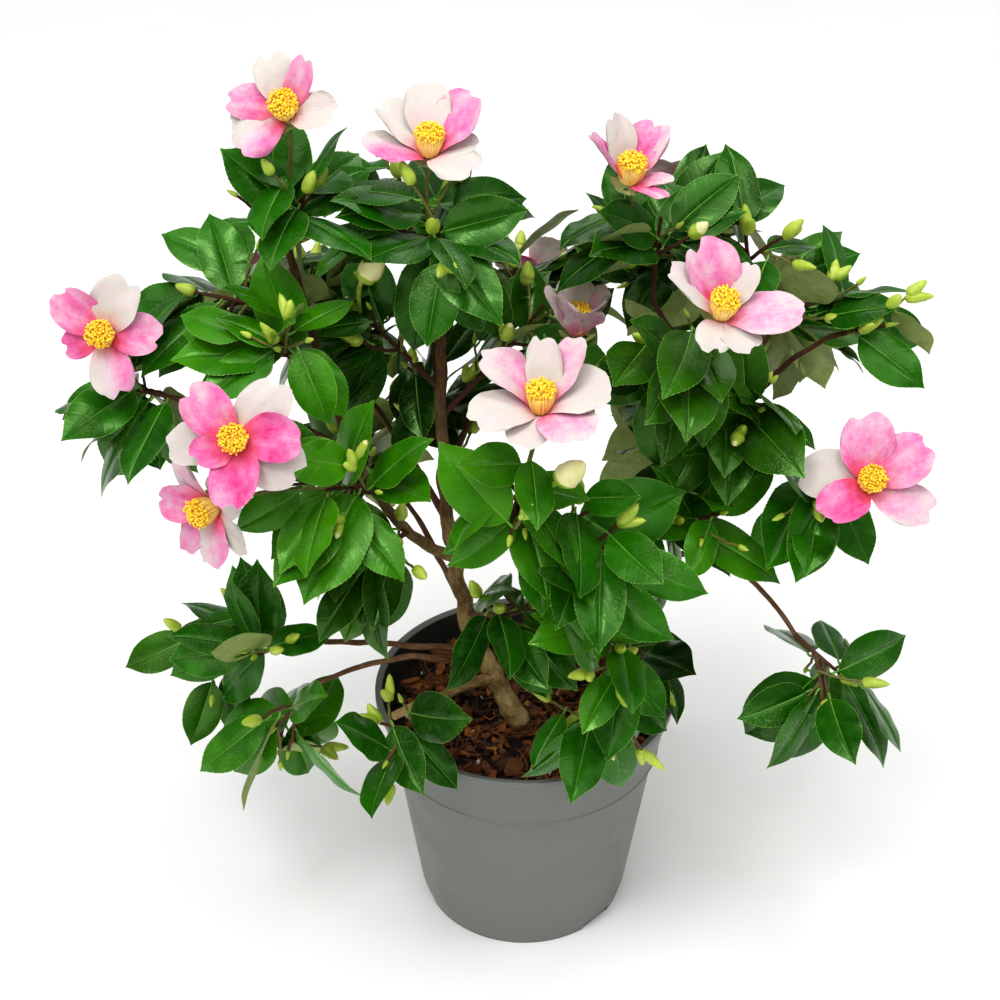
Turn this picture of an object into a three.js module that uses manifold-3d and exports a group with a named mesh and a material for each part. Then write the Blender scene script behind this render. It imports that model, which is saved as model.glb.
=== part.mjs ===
// A camellia shrub in bloom, grown in a round plastic nursery pot filled with bark mulch.
// Millimetres, +Z up. The origin is the centre of the pot's flat underside, and most blooms look
// toward -Y.
import * as THREE from "three";
import { ConvexGeometry } from "three/addons/geometries/ConvexGeometry.js";
import { mergeVertices } from "three/addons/utils/BufferGeometryUtils.js";
import Module from "manifold-3d";

const wasm = await Module();
wasm.setup();

// Clearance between neighbouring solids.
const GAP = 0.3;

// The pot: a tapered body, a wider collar with a lip at its top, and three notches in the foot.
const POT = {
  height: 179,
  lipRadius: 105,
  lipHeight: 5,
  collarHeight: 40,
  collarRadius: 102.4,
  collarFootRadius: 95.6,
  bodyTopRadius: 93,
  footRadius: 72.5,
  bevel: 1.5,
  wall: 2.2,
  floor: 3,
  cornerRise: 9,
  cornerRun: 10,
  sides: 30,
  notch: { count: 3, firstDeg: -44, width: 26, height: 7, depth: 3 },
};
// The mulch's flat top, and how much wider it is there than at the foot of the pot's collar.
const MULCH_TOP = 163;
const MULCH_SPREAD = 1;

// Stems that stand on the mulch or fork from one another: a curve's foot, two guide points and tip,
// with the radius at foot and tip. A foot given as null is the point of the limb named in from, at
// that share of its curve.
const STEMS = [
  {
    name: "trunk",
    guides: [[-5, -18, MULCH_TOP], [-45, -6, 235], [-62, 0, 300], [-52, 0, 500]],
    footRadius: 7.2,
    tipRadius: 3.0,
    flare: 1.6,
    sides: 8,
    steps: 9,
  },
  {
    name: "stem_right",
    guides: [[17, 14, MULCH_TOP], [45, 20, 240], [118, 20, 350], [146, 30, 464]],
    footRadius: 5.2,
    tipRadius: 2.4,
    flare: 1.2,
    sides: 7,
    steps: 7,
  },
  {
    name: "stem_left",
    from: "trunk",
    at: 0.52,
    guides: [null, [-104, -52, 340], [-118, -60, 440], [-144, -8, 512]],
    footRadius: 3.7,
    tipRadius: 2.3,
    flare: 0,
    sides: 6,
    steps: 6,
  },
];
const FLARE_SHARE = 0.12;

// Boughs: where each leaves its limb, its tip, and how far its two guide points lie above the
// straight line.
const BOUGH = { footRadius: 2.9, tipRadius: 1.8, flare: 0, sides: 5, steps: 3 };
const BOUGHS = [
  {
    name: "cut_branch",
    from: "trunk",
    at: 0.15,
    tip: [-88, -68, 205],
    lift: [4, 2],
    footRadius: 3.8,
    tipRadius: 2.9,
  },
  { name: "bough_left_tip", from: "stem_left", at: 0.48, tip: [-194, -30, 418], lift: [14, 12] },
  { name: "bough_front", from: "trunk", at: 0.56, tip: [-8, -84, 386], lift: [4, 8] },
  { name: "bough_low_front", from: "stem_right", at: 0.3, tip: [54, -74, 268], lift: [14, 14] },
  { name: "bough_right_lobe", from: "stem_right", at: 0.56, tip: [164, -26, 376], lift: [6, 10] },
  { name: "bough_right_hang", from: "stem_right", at: 0.32, tip: [174, -60, 266], lift: [56, 66] },
  { name: "bough_right_outer", from: "stem_right", at: 0.74, tip: [190, 14, 444], lift: [0, 4] },
  { name: "bough_top_right", from: "stem_right", at: 0.76, tip: [78, 8, 470], lift: [4, 8] },
  { name: "bough_low_left", from: "trunk", at: 0.24, tip: [-188, -34, 240], lift: [4, 6] },
  { name: "bough_left_bottom", from: "trunk", at: 0.19, tip: [-138, -52, 220], lift: [16, 20] },
  { name: "bough_back_top", from: "trunk", at: 0.78, tip: [-66, 78, 452], lift: [2, 6] },
  { name: "bough_back_left", from: "trunk", at: 0.6, tip: [-128, 92, 388], lift: [8, 10] },
  { name: "bough_back_mid", from: "trunk", at: 0.68, tip: [-12, 112, 392], lift: [8, 10] },
  { name: "bough_back_right", from: "stem_right", at: 0.62, tip: [160, 96, 392], lift: [8, 10] },
  { name: "bough_back_low_left", from: "trunk", at: 0.34, tip: [-90, 80, 290], lift: [8, 10] },
  { name: "bough_back_low_right", from: "stem_right", at: 0.32, tip: [86, 96, 286], lift: [8, 10] },
];

// Each spray is one mass of leaves on a twig of its own that starts at a share of a limb. It keeps to
// a ball of radius reach round its heart. Its seed turns its side shoots and leaves. The columns are
// name, limb, share, heart, reach, side shoots and seed.
const SPRAYS = [
  ["crown_top", "trunk", 1, [-58, -2, 513], 70, 4, 0],
  ["top_left", "stem_left", 1, [-139, 2, 527], 70, 4, 7],
  ["left_upper", "stem_left", 0.86, [-196, 8, 467], 62, 3, 1],
  ["left_tip", "bough_left_tip", 1, [-238, -24, 420], 70, 2, 3],
  ["left_mid", "stem_left", 0.7, [-149, -42, 462], 62, 3, 0],
  ["mid_upper", "trunk", 0.84, [-98, 26, 441], 60, 3, 8],
  ["mid_left", "stem_left", 0.4, [-111, -94, 393], 64, 3, 8],
  ["mid_back", "trunk", 0.58, [-50, 46, 390], 66, 3, 0],
  ["mid_low_left", "stem_left", 0.2, [-91, -74, 332], 62, 3, 4],
  ["centre_right", "trunk", 0.8, [9, 14, 449], 64, 3, 1],
  ["right_centre", "bough_top_right", 0.7, [83, -62, 454], 60, 3, 4],
  ["top_right", "bough_top_right", 1, [75, 10, 511], 64, 3, 4],
  ["top_right_outer", "stem_right", 1, [126, 20, 501], 62, 4, 5],
  ["right_upper", "stem_right", 0.9, [184, 30, 465], 58, 3, 7],
  ["right_outer", "bough_right_outer", 1, [215, 10, 446], 50, 2, 0],
  ["right_mid", "stem_right", 0.72, [130, -50, 419], 60, 3, 4],
  ["right_lobe", "bough_right_lobe", 1, [177, -50, 373], 64, 3, 2],
  ["centre", "bough_front", 1, [-5, -108, 401], 60, 3, 1],
  ["centre_low", "bough_front", 0.74, [47, -112, 363], 62, 3, 7],
  ["low_mid", "trunk", 0.36, [-11, -80, 295], 58, 3, 0],
  ["low_right_mid", "bough_low_front", 1, [51, -94, 289], 64, 3, 7],
  ["right_low", "stem_right", 0.46, [108, -70, 363], 62, 3, 4],
  ["right_hang", "bough_right_hang", 1, [193, -62, 239], 76, 2, 3],
  ["low_left", "bough_low_left", 0.72, [-180, -44, 249], 62, 3, 0],
  ["far_left_low", "bough_low_left", 1, [-215, -24, 215], 56, 2, 1],
  ["left_bottom", "bough_left_bottom", 1, [-155, -70, 205], 72, 3, 5],
  ["bottom_left", "cut_branch", 0.7, [-84, -120, 219], 54, 2, 1],
  ["bottom_right", "bough_low_front", 0.72, [47, -108, 225], 60, 3, 6],
  ["low_right_back", "stem_right", 0.16, [95, 2, 205], 52, 2, 6],
  ["back_top_left", "bough_back_top", 1, [-84, 112, 472], 70, 3, 15],
  ["back_top_right", "stem_right", 0.84, [96, 104, 470], 70, 3, 18],
  ["back_left", "bough_back_left", 1, [-160, 122, 396], 76, 3, 20],
  ["back_mid", "bough_back_mid", 1, [2, 146, 398], 76, 3, 20],
  ["back_right", "bough_back_right", 1, [178, 128, 398], 76, 3, 9],
  ["back_low_left", "bough_back_low_left", 1, [-112, 114, 292], 72, 3, 16],
  ["back_low_right", "bough_back_low_right", 1, [98, 128, 290], 72, 3, 15],
].map(([name, from, at, heart, reach, shoots, seed]) => {
  return { name, from, at, heart, reach, shoots, seed };
});

// Open blooms: the spray that carries each, its centre, the way it faces and the length of its
// petals.
const BLOOMS = [
  { spray: "top_left", heart: [-141, -6, 598], faces: [0.0, -0.88, 0.48], petal: 35 },
  { spray: "crown_top", heart: [-58, -12, 576], faces: [0.02, -0.5, 0.87], petal: 42 },
  { spray: "top_right", heart: [58, -4, 556], faces: [0.25, -0.5, 0.83], petal: 38 },
  { spray: "left_tip", heart: [-254, -34, 470], faces: [-0.08, -0.9, 0.42], petal: 38 },
  { spray: "mid_left", heart: [-166, -124, 449], faces: [-0.02, -0.84, 0.54], petal: 41 },
  { spray: "mid_left", heart: [-184, -112, 398], faces: [-0.6, -0.75, 0.1], petal: 36 },
  { spray: "centre", heart: [5, -130, 472], faces: [0.02, -0.42, 0.91], petal: 43 },
  { spray: "right_centre", heart: [107, -84, 508], faces: [0.18, -0.6, 0.78], petal: 42 },
  { spray: "right_lobe", heart: [205, -74, 390], faces: [0.04, -0.8, 0.6], petal: 42 },
  { spray: "centre_right", heart: [30, -2, 456], faces: [0.35, -0.1, 0.93], petal: 34 },
  { spray: "back_left", heart: [-190, 172, 396], faces: [-0.45, 0.75, 0.48], petal: 39 },
  { spray: "back_mid", heart: [16, 206, 388], faces: [0.1, 0.85, 0.52], petal: 41 },
  { spray: "back_right", heart: [204, 178, 392], faces: [0.55, 0.66, 0.52], petal: 40 },
  { spray: "back_top_right", heart: [96, 156, 478], faces: [0.05, 0.5, 0.86], petal: 38 },
];
const PETALS = 6;
const PETAL = { notch: 0.74, shoulderDeg: 19, unevenness: 0.14, cup: 0.3, step: 0.1 };
const STAMENS = { radius: 9.5, footRadius: 6, height: 17, dome: 3 };
const CALYX = { depth: 7, stalkAside: 9 };
// The space of a bloom as balls, in shares of its petals' length: one at its heart, some round its
// petals and two in front of it.
const BLOOM_SPACE = {
  heart: 0.55,
  round: { count: 8, openingDeg: 75, distance: 0.7, radius: 0.46 },
  front: { distances: [0.6, 1.2], radius: 0.75 },
};

// Leaves: lengths, outline, opening from the shoot, and what turns each upper side and tip.
const LEAF = {
  shortest: 50,
  longest: 80,
  smallest: 0.76,
  petiole: 5,
  widthShare: 0.6,
  sides: [[0.3, 0.92], [0.68, 0.8]],
  fold: 0.1,
  sag: 0.12,
  openings: [36, 56, 68, 76, 72],
  outward: 0.15,
  droop: [0.1, 0.5],
  upperOutward: 0.55,
  upperTilt: 0.7,
  toLight: [0, -0.45, 0],
  litBelow: 0.3,
};
// Twigs and side shoots. A twig ends beyond its spray's heart, and a bloom's stalk leaves it at the
// share stalkAt. Side shoots leave it from lowest on. A shoot's leaves start at firstLeaf behind
// its tip and go on by spacing.
const TWIG = {
  footRadius: 2.2,
  tipRadius: 1.7,
  sides: 3,
  steps: 2,
  beyondHeart: 0.2,
  rise: 0.35,
  lift: 4,
  stalkAt: 0.8,
};
const SHOOT = {
  footRadius: 1.2,
  tipRadius: 1.5,
  openingDeg: 50,
  share: 0.42,
  jitter: 0.16,
  lowest: 0.15,
  belowTip: 20,
  leastRoom: 0.3,
  firstLeaf: 2.5,
  spacing: 9,
  leaves: 5,
};
const BUD = { share: 0.22, length: 18, radius: 5.2, point: 0.6, widestAt: 0.42 };
// Each shoot or leaf is turned this far round from the last, and a leaf that is tried again by
// retryTurn more.
const TURN = 144;
const RETRY_TURN = 47;
const TRIES = 8;
const CROWN_CENTRE = [0, 10, 330];
const SEEDS = { spray: 1000, bloom: 500 };

// Distances that a leaf keeps from what stands nearby. For twigs and leaves the second one is for
// its own spray.
const KEEP = { limb: 6, twig: [6, 2.8], leaf: [6.6, 4.2], bud: [8, 5], pot: 6, ground: 14 };
// What leaves and twigs keep clear of is marked by points at this pitch. A shoot's first marks are
// left untested, as it touches what it grows from.
const PITCH = 4;
const UNTESTED = 2;

const COLOURS = {
  pot: [0x7b7d7b, 0.55],
  mulch: [0x3a2117, 0.95],
  bark: [0x7a5a45, 0.85],
  leaf: [0x1f6b1c, 0.4],
};

// Where a leaf is tested: shares of its length, each with a share of its half width.
const STATIONS = [[0.14, 0.38], [0.34, 0.81], [0.54, 0.88], [0.74, 0.65], [0.94, 0.22]];

const UP = new THREE.Vector3(0, 0, 1);
// A level look that sees the crown from a little above.
const FRONT = new THREE.Vector3(0, -0.85, 0.53);
const vec = (a) => new THREE.Vector3(...a);
const radians = THREE.MathUtils.degToRad;

// A repeatable stream of numbers from 0 to 1.
function seeded(seed) {
  let state = seed >>> 0;
  return () => {
    state = (state + 0x6d2b79f5) >>> 0;
    let t = state;
    t = Math.imul(t ^ (t >>> 15), t | 1);
    t ^= t + Math.imul(t ^ (t >>> 7), t | 61);
    return ((t ^ (t >>> 14)) >>> 0) / 2 ** 32;
  };
}

// A closed geometry as a solid that can be joined and cut.
function solid(geometry) {
  const bare = geometry.clone();
  bare.deleteAttribute("normal");
  bare.deleteAttribute("uv");
  const merged = mergeVertices(bare, 1e-4);
  const mesh = new wasm.Mesh({
    numProp: 3,
    vertProperties: new Float32Array(merged.attributes.position.array),
    triVerts: new Uint32Array(merged.index.array),
  });
  return new wasm.Manifold(mesh);
}

// The largest connected piece of a solid: a loose scrap left by a cut is dropped.
function largest(made) {
  const pieces = made.decompose();
  return pieces.reduce((best, piece) => (piece.volume() > best.volume() ? piece : best));
}

function meshOf(made, name, [colour, roughness]) {
  const data = made.getMesh();
  const geometry = new THREE.BufferGeometry();
  geometry.setAttribute("position", new THREE.BufferAttribute(new Float32Array(data.vertProperties), 3));
  geometry.setIndex(new THREE.BufferAttribute(new Uint32Array(data.triVerts), 1));
  geometry.computeVertexNormals();
  const material = new THREE.MeshStandardMaterial({ color: colour, roughness, metalness: 0 });
  const mesh = new THREE.Mesh(geometry, material);
  mesh.name = name;
  return mesh;
}

// Moves each vertex of a geometry by a function of its old place.
function shaped(geometry, place) {
  const position = geometry.attributes.position;
  const point = new THREE.Vector3();
  for (let i = 0; i < position.count; i++) {
    point.fromBufferAttribute(position, i);
    const moved = place(point);
    position.setXYZ(i, moved.x, moved.y, moved.z);
  }
  return geometry;
}

// Two unit vectors square to a direction; direction, across and over are right-handed.
function squareTo(direction) {
  const helper = Math.abs(direction.z) < 0.9 ? UP : new THREE.Vector3(1, 0, 0);
  const over = new THREE.Vector3().crossVectors(direction, helper).normalize();
  const across = new THREE.Vector3().crossVectors(over, direction).normalize();
  return [across, over];
}

// A direction that opens from an axis by an angle, turned about it.
function opened(axis, opening, turn) {
  const [across, over] = squareTo(axis);
  return axis
    .clone()
    .multiplyScalar(Math.cos(opening))
    .addScaledVector(across, Math.sin(opening) * Math.cos(turn))
    .addScaledVector(over, Math.sin(opening) * Math.sin(turn));
}

// The pot's outer radius at a height.
function potOuterRadius(z) {
  const collarFoot = POT.height - POT.collarHeight;
  if (z >= POT.height - POT.lipHeight) return POT.lipRadius;
  if (z >= collarFoot) {
    const share = (z - collarFoot) / POT.collarHeight;
    return POT.collarFootRadius + share * (POT.collarRadius - POT.collarFootRadius);
  }
  return POT.footRadius + (Math.max(0, z) / collarFoot) * (POT.bodyTopRadius - POT.footRadius);
}

// The profile of the pot's inside up to the collar, drawn in by a clearance.
function potInside(clearance) {
  const corner = POT.floor + POT.cornerRise;
  const collarFoot = POT.height - POT.collarHeight;
  const cornerRadius = potOuterRadius(corner) - POT.wall - clearance;
  return [
    [0, POT.floor + clearance],
    [cornerRadius - POT.cornerRun, POT.floor + clearance],
    [cornerRadius, corner + clearance],
    [POT.bodyTopRadius - POT.wall - clearance, collarFoot],
  ];
}

function lathe(profile) {
  const points = profile.map(([r, z]) => new THREE.Vector2(r, z));
  return solid(new THREE.LatheGeometry(points, POT.sides).rotateX(Math.PI / 2));
}

function potSolid() {
  const collarFoot = POT.height - POT.collarHeight;
  const lipFoot = POT.height - POT.lipHeight;
  const outside = [
    [0, 0],
    [POT.footRadius, 0],
    [POT.bodyTopRadius, collarFoot - POT.bevel],
    [POT.collarFootRadius, collarFoot],
    [POT.collarRadius, lipFoot - POT.bevel],
    [POT.lipRadius, lipFoot],
    [POT.lipRadius, POT.height],
    [POT.collarRadius - POT.wall, POT.height - POT.bevel],
  ];
  let pot = lathe([...outside, ...potInside(0).reverse()]);
  const { count, firstDeg, width, height, depth } = POT.notch;
  for (let k = 0; k < count; k++) {
    const block = new THREE.BoxGeometry(2 * depth, width, 2 * height);
    block.translate(POT.footRadius + POT.wall / 2, 0, 0);
    block.rotateZ(radians(firstDeg + (k * 360) / count));
    pot = pot.subtract(solid(block));
  }
  return pot;
}

// The mulch fills the pot, clear of its wall.
function mulchSolid() {
  const inside = potInside(GAP);
  const topRadius = inside[inside.length - 1][0] + MULCH_SPREAD;
  return lathe([...inside, [topRadius, MULCH_TOP], [0, MULCH_TOP]]);
}

function taperOf({ footRadius, tipRadius }, t) {
  return footRadius + (tipRadius - footRadius) * t;
}

// A tapering limb along a curve: a cylinder whose rings are moved onto the curve.
function limbSolid(curve, radiusAt, sides, steps) {
  const rings = [];
  let across = null;
  for (let i = 0; i <= steps; i++) {
    const tangent = curve.getTangent(i / steps);
    if (!across) [across] = squareTo(tangent);
    across = across.clone().addScaledVector(tangent, -across.dot(tangent)).normalize();
    const over = new THREE.Vector3().crossVectors(tangent, across);
    rings.push({ centre: curve.getPoint(i / steps), across, over });
  }
  const geometry = new THREE.CylinderGeometry(1, 1, 1, sides, steps);
  shaped(geometry, (p) => {
    const step = Math.round((p.y + 0.5) * steps);
    const ring = rings[step];
    const radius = radiusAt(step / steps) * Math.hypot(p.x, p.z);
    const turn = Math.atan2(p.x, p.z);
    return ring.centre
      .clone()
      .addScaledVector(ring.across, radius * Math.cos(turn))
      .addScaledVector(ring.over, radius * Math.sin(turn));
  });
  return solid(geometry);
}

function straightTwig(start, end) {
  return limbSolid(new THREE.LineCurve3(start, end), (t) => taperOf(SHOOT, t), TWIG.sides, 1);
}

const limbs = new Map();
// Points with a distance to keep from them, and the limb or spray that owns them.
const obstacles = [];

function addObstacle(point, owner, keep, ownKeep = keep) {
  obstacles.push({ x: point.x, y: point.y, z: point.z, owner, keep, ownKeep });
}

// A limb is cut where it would enter the limb that it leaves, and clears it by GAP.
function clearOfParent(made, parent) {
  const swollen = limbSolid(parent.curve, (t) => parent.radiusAt(t) + GAP, parent.sides, parent.steps);
  return largest(made.subtract(swollen));
}

function addLimb(limb, curve) {
  const radiusAt = (t) => taperOf(limb, t) + limb.flare * Math.max(0, 1 - t / FLARE_SHARE) ** 2;
  const grownLimb = { ...limb, curve, radiusAt };
  const whole = limbSolid(curve, radiusAt, limb.sides, limb.steps);
  grownLimb.solid = limb.from ? clearOfParent(whole, limbs.get(limb.from)) : aboveMulch(whole);
  const marks = Math.ceil(curve.getLength() / PITCH);
  for (let i = 0; i <= marks; i++) {
    addObstacle(curve.getPoint(i / marks), limb.name, radiusAt(i / marks) + KEEP.limb);
  }
  limbs.set(limb.name, grownLimb);
}

// The stems' feet are cut flat, just clear of the mulch.
function aboveMulch(made) {
  const size = POT.lipRadius;
  const block = new THREE.BoxGeometry(size, size, size).translate(0, 0, MULCH_TOP + GAP - size / 2);
  return made.subtract(solid(block));
}

function growLimbs() {
  for (const stem of STEMS) {
    const points = stem.guides.map((g) => (g ? vec(g) : limbs.get(stem.from).curve.getPoint(stem.at)));
    addLimb(stem, new THREE.CubicBezierCurve3(...points));
  }
  for (const bough of BOUGHS) {
    const start = limbs.get(bough.from).curve.getPoint(bough.at);
    const tip = vec(bough.tip);
    const guide1 = start.clone().lerp(tip, 1 / 3).addScaledVector(UP, bough.lift[0]);
    const guide2 = start.clone().lerp(tip, 2 / 3).addScaledVector(UP, bough.lift[1]);
    addLimb({ ...BOUGH, ...bough }, new THREE.CubicBezierCurve3(start, guide1, guide2, tip));
  }
}

// True if none of the points comes too near to an obstacle.
function isClear(points, owner) {
  for (const o of obstacles) {
    const keep = o.owner === owner ? o.ownKeep : o.keep;
    for (const p of points) {
      const dx = p.x - o.x;
      const dy = p.y - o.y;
      const dz = p.z - o.z;
      if (dx * dx + dy * dy + dz * dz < keep * keep) return false;
    }
  }
  return true;
}

function clearOfPot(points) {
  for (const p of points) {
    if (p.z < KEEP.ground) return false;
    const radius = Math.hypot(p.x, p.y);
    const outer = potOuterRadius(p.z);
    if (p.z < POT.height + KEEP.pot && Math.abs(radius - outer) < KEEP.pot) return false;
    if (p.z < MULCH_TOP + KEEP.pot && radius < outer) return false;
  }
  return true;
}

function inBall(points, heart, reach) {
  return points.every((p) => p.distanceTo(heart) < reach);
}

function marksBetween(start, end) {
  const marks = Math.max(1, Math.ceil(start.distanceTo(end) / PITCH));
  return Array.from({ length: marks + 1 }, (_, i) => start.clone().lerp(end, i / marks));
}

// The twig of a spray bends once. Beyond the bend it is the first shoot.
function growTwig(spray) {
  const parent = limbs.get(spray.from);
  const heart = vec(spray.heart);
  const outward = heart.clone().sub(vec(CROWN_CENTRE)).normalize();
  const beyond = outward.clone().addScaledVector(UP, TWIG.rise);
  const tip = heart.clone().addScaledVector(beyond, TWIG.beyondHeart * spray.reach);
  const start = parent.curve.getPoint(spray.at);
  const guide = start.clone().lerp(heart, 0.5).addScaledVector(UP, TWIG.lift);
  const fromTip = spray.at === 1;
  if (fromTip) {
    const tangent = parent.curve.getTangent(1);
    const slant = tangent.clone().cross(guide.clone().sub(start).normalize()).length();
    start.addScaledVector(tangent, GAP + TWIG.footRadius * slant);
  }
  const curve = new THREE.QuadraticBezierCurve3(start, guide, tip);
  const bend = curve.getPoint(0.5);
  for (const mark of marksBetween(start, bend)) addObstacle(mark, spray.name, ...KEEP.twig);
  for (const mark of marksBetween(bend, tip)) addObstacle(mark, spray.name, ...KEEP.twig);
  const shoots = [{ start: bend, end: tip, side: false }];
  const rand = seeded(SEEDS.spray + spray.seed);
  return { spray, curve, shoots, heart, outward, rand, fromTip, leaves: [] };
}

// Side shoots leave a twig beyond its bend, each two fifths of a turn on, where nothing is in their
// way.
function growSideShoots({ spray, shoots, rand }) {
  const [main] = shoots;
  const axis = main.end.clone().sub(main.start);
  const room = Math.max(SHOOT.leastRoom, 1 - SHOOT.belowTip / axis.length());
  for (let k = 0; k < spray.shoots; k++) {
    const place = SHOOT.lowest + ((1 - SHOOT.lowest) * k) / Math.max(1, spray.shoots - 1);
    const foot = main.start.clone().addScaledVector(axis, room * place);
    const turn = radians(TURN * k + 360 * rand());
    const direction = opened(axis.clone().normalize(), radians(SHOOT.openingDeg), turn);
    const length = spray.reach * (SHOOT.share + SHOOT.jitter * rand());
    const end = foot.clone().addScaledVector(direction, length);
    const marks = marksBetween(foot, end);
    const tested = marks.slice(UNTESTED);
    if (!isClear(tested, spray.name) || !clearOfPot(tested)) continue;
    shoots.push({ start: foot, end, side: true });
    for (const mark of marks) addObstacle(mark, spray.name, ...KEEP.twig);
  }
}

// A leaf's frame: where its petiole starts, its direction, its upper side and its length.
// Sprays that don't face away from the light turn their leaves towards it.
function leafFrame(start, direction, outward, length, tilt) {
  const upper = UP.clone();
  upper.addScaledVector(outward, LEAF.upperOutward).addScaledVector(tilt, LEAF.upperTilt);
  if (outward.y < LEAF.litBelow) upper.add(vec(LEAF.toLight));
  upper.addScaledVector(direction, -upper.dot(direction)).normalize();
  const side = new THREE.Vector3().crossVectors(direction, upper);
  return { start, direction, upper, side, length };
}

// A point of a leaf at a share of its length, and so far to its side.
function leafPoint(leaf, share, across) {
  const sag = LEAF.sag * share * share * leaf.length;
  return leaf.start
    .clone()
    .addScaledVector(leaf.direction, LEAF.petiole + share * leaf.length)
    .addScaledVector(leaf.side, across)
    .addScaledVector(leaf.upper, LEAF.fold * Math.abs(across) - sag);
}

function halfWidth(leaf) {
  return (LEAF.widthShare * leaf.length) / 2;
}

// Points spread over a leaf, on its midrib and on both sides.
function leafMarks(leaf) {
  const marks = [leafPoint(leaf, 0, 0)];
  for (const [share, width] of STATIONS) {
    for (const side of [-1, 0, 1]) marks.push(leafPoint(leaf, share, side * width * halfWidth(leaf)));
  }
  return marks;
}

// Leaves of one spray, set along each shoot from its tip down, each two fifths of a turn on. A leaf
// that would leave the spray's ball or touch something is tried again further round and smaller,
// and at last left out.
function growLeaves(grown) {
  const { spray, shoots, heart, outward, rand } = grown;
  for (const shoot of shoots) {
    const axis = shoot.end.clone().sub(shoot.start);
    const length = axis.length();
    axis.normalize();
    const firstTurn = 360 * rand();
    for (let k = 0; k < SHOOT.leaves; k++) {
      const back = SHOOT.firstLeaf + SHOOT.spacing * k;
      if (back > length - SHOOT.firstLeaf) break;
      const foot = shoot.end.clone().addScaledVector(axis, -back);
      const size = LEAF.shortest + (LEAF.longest - LEAF.shortest) * rand();
      const droop = LEAF.droop[0] + (LEAF.droop[1] - LEAF.droop[0]) * rand();
      const tilt = new THREE.Vector3(rand() - 0.5, rand() - 0.5, rand() - 0.5);
      for (let attempt = 0; attempt < TRIES; attempt++) {
        const turn = radians(firstTurn + TURN * k + RETRY_TURN * attempt);
        const direction = opened(axis, radians(LEAF.openings[k]), turn)
          .addScaledVector(outward, LEAF.outward)
          .addScaledVector(UP, -droop)
          .normalize();
        const scale = 1 - ((1 - LEAF.smallest) * attempt) / (TRIES - 1);
        const leaf = leafFrame(foot, direction, outward, size * scale, tilt);
        const marks = leafMarks(leaf);
        if (!inBall(marks, heart, spray.reach) || !clearOfPot(marks)) continue;
        if (!isClear(marks, spray.name)) continue;
        for (const mark of marks) addObstacle(mark, spray.name, ...KEEP.leaf);
        grown.leaves.push(leaf);
        break;
      }
    }
  }
}

// A bud ends some of the shoots, where nothing is in its way.
function growBuds({ spray, shoots, rand }) {
  for (const shoot of shoots) {
    const wanted = shoot.side && rand() < BUD.share;
    const axis = shoot.end.clone().sub(shoot.start).normalize();
    const end = shoot.end.clone().addScaledVector(axis, BUD.length);
    const marks = marksBetween(shoot.end, end).slice(UNTESTED);
    if (!wanted || !clearOfPot(marks) || !isClear(marks, spray.name)) continue;
    for (const mark of marks) addObstacle(mark, spray.name, ...KEEP.bud);
    shoot.bud = true;
  }
}

// The space of a bloom, and the open space in front of it, stay free of leaves.
function keepBloomsOpen() {
  const { round, front } = BLOOM_SPACE;
  for (const { heart, faces, petal } of BLOOMS) {
    const axis = vec(faces).normalize();
    const keepBall = (direction, distance, radius) => {
      addObstacle(vec(heart).addScaledVector(direction, distance * petal), "bloom", radius * petal);
    };
    keepBall(axis, 0, BLOOM_SPACE.heart);
    for (let k = 0; k < round.count; k++) {
      const turn = (2 * Math.PI * k) / round.count;
      keepBall(opened(axis, radians(round.openingDeg), turn), round.distance, round.radius);
    }
    for (const distance of front.distances) {
      keepBall(axis, distance, front.radius);
      if (axis.y < 0) keepBall(FRONT, distance, front.radius);
    }
  }
}

// A leaf of eight faces: foot, tip and two points of each side. Its sides stand above its midrib.
function leafSolid(leaf) {
  const points = [leaf.start, leafPoint(leaf, 1, 0)];
  for (const [share, width] of LEAF.sides) {
    for (const side of [-1, 1]) points.push(leafPoint(leaf, share, side * width * halfWidth(leaf)));
  }
  return solid(new ConvexGeometry(points));
}

// A shoot: a three-sided twig, with the bud that ends it as two more rings.
function shootSolid({ start, end, bud }) {
  if (!bud) return straightTwig(start, end);
  const axis = end.clone().sub(start).normalize();
  const widest = end.clone().addScaledVector(axis, BUD.widestAt * BUD.length);
  const point = end.clone().addScaledVector(axis, BUD.length);
  const rings = [start, end, widest, point];
  const radii = [SHOOT.footRadius, SHOOT.tipRadius, BUD.radius, BUD.point];
  const [across, over] = squareTo(axis);
  const geometry = new THREE.CylinderGeometry(1, 1, 1, TWIG.sides, rings.length - 1);
  shaped(geometry, (p) => {
    const ring = Math.round((p.y + 0.5) * (rings.length - 1));
    const radius = radii[ring];
    return rings[ring].clone().addScaledVector(across, p.z * radius).addScaledVector(over, p.x * radius);
  });
  return solid(geometry);
}

// Each petal has three rim points: its two shoulders and the notch after it. Petals differ a little
// in length and lift by the bloom's own seed.
function petalRim(index) {
  const rand = seeded(SEEDS.bloom + index);
  const petals = Array.from({ length: PETALS }, (_, k) => ({
    reach: 1 - PETAL.unevenness * rand(),
    lift: PETAL.cup + (k % 2 ? PETAL.step : 0) + PETAL.unevenness * (rand() - 0.5),
  }));
  const offsets = [-PETAL.shoulderDeg, PETAL.shoulderDeg, 180 / PETALS];
  return (column) => {
    const k = Math.floor(column / 3);
    const share = column % 3 === 2 ? PETAL.notch : 1;
    const angle = radians((360 * k) / PETALS + offsets[column % 3]);
    return { angle, reach: petals[k].reach * share, lift: petals[k].lift * share * share };
  };
}

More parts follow.
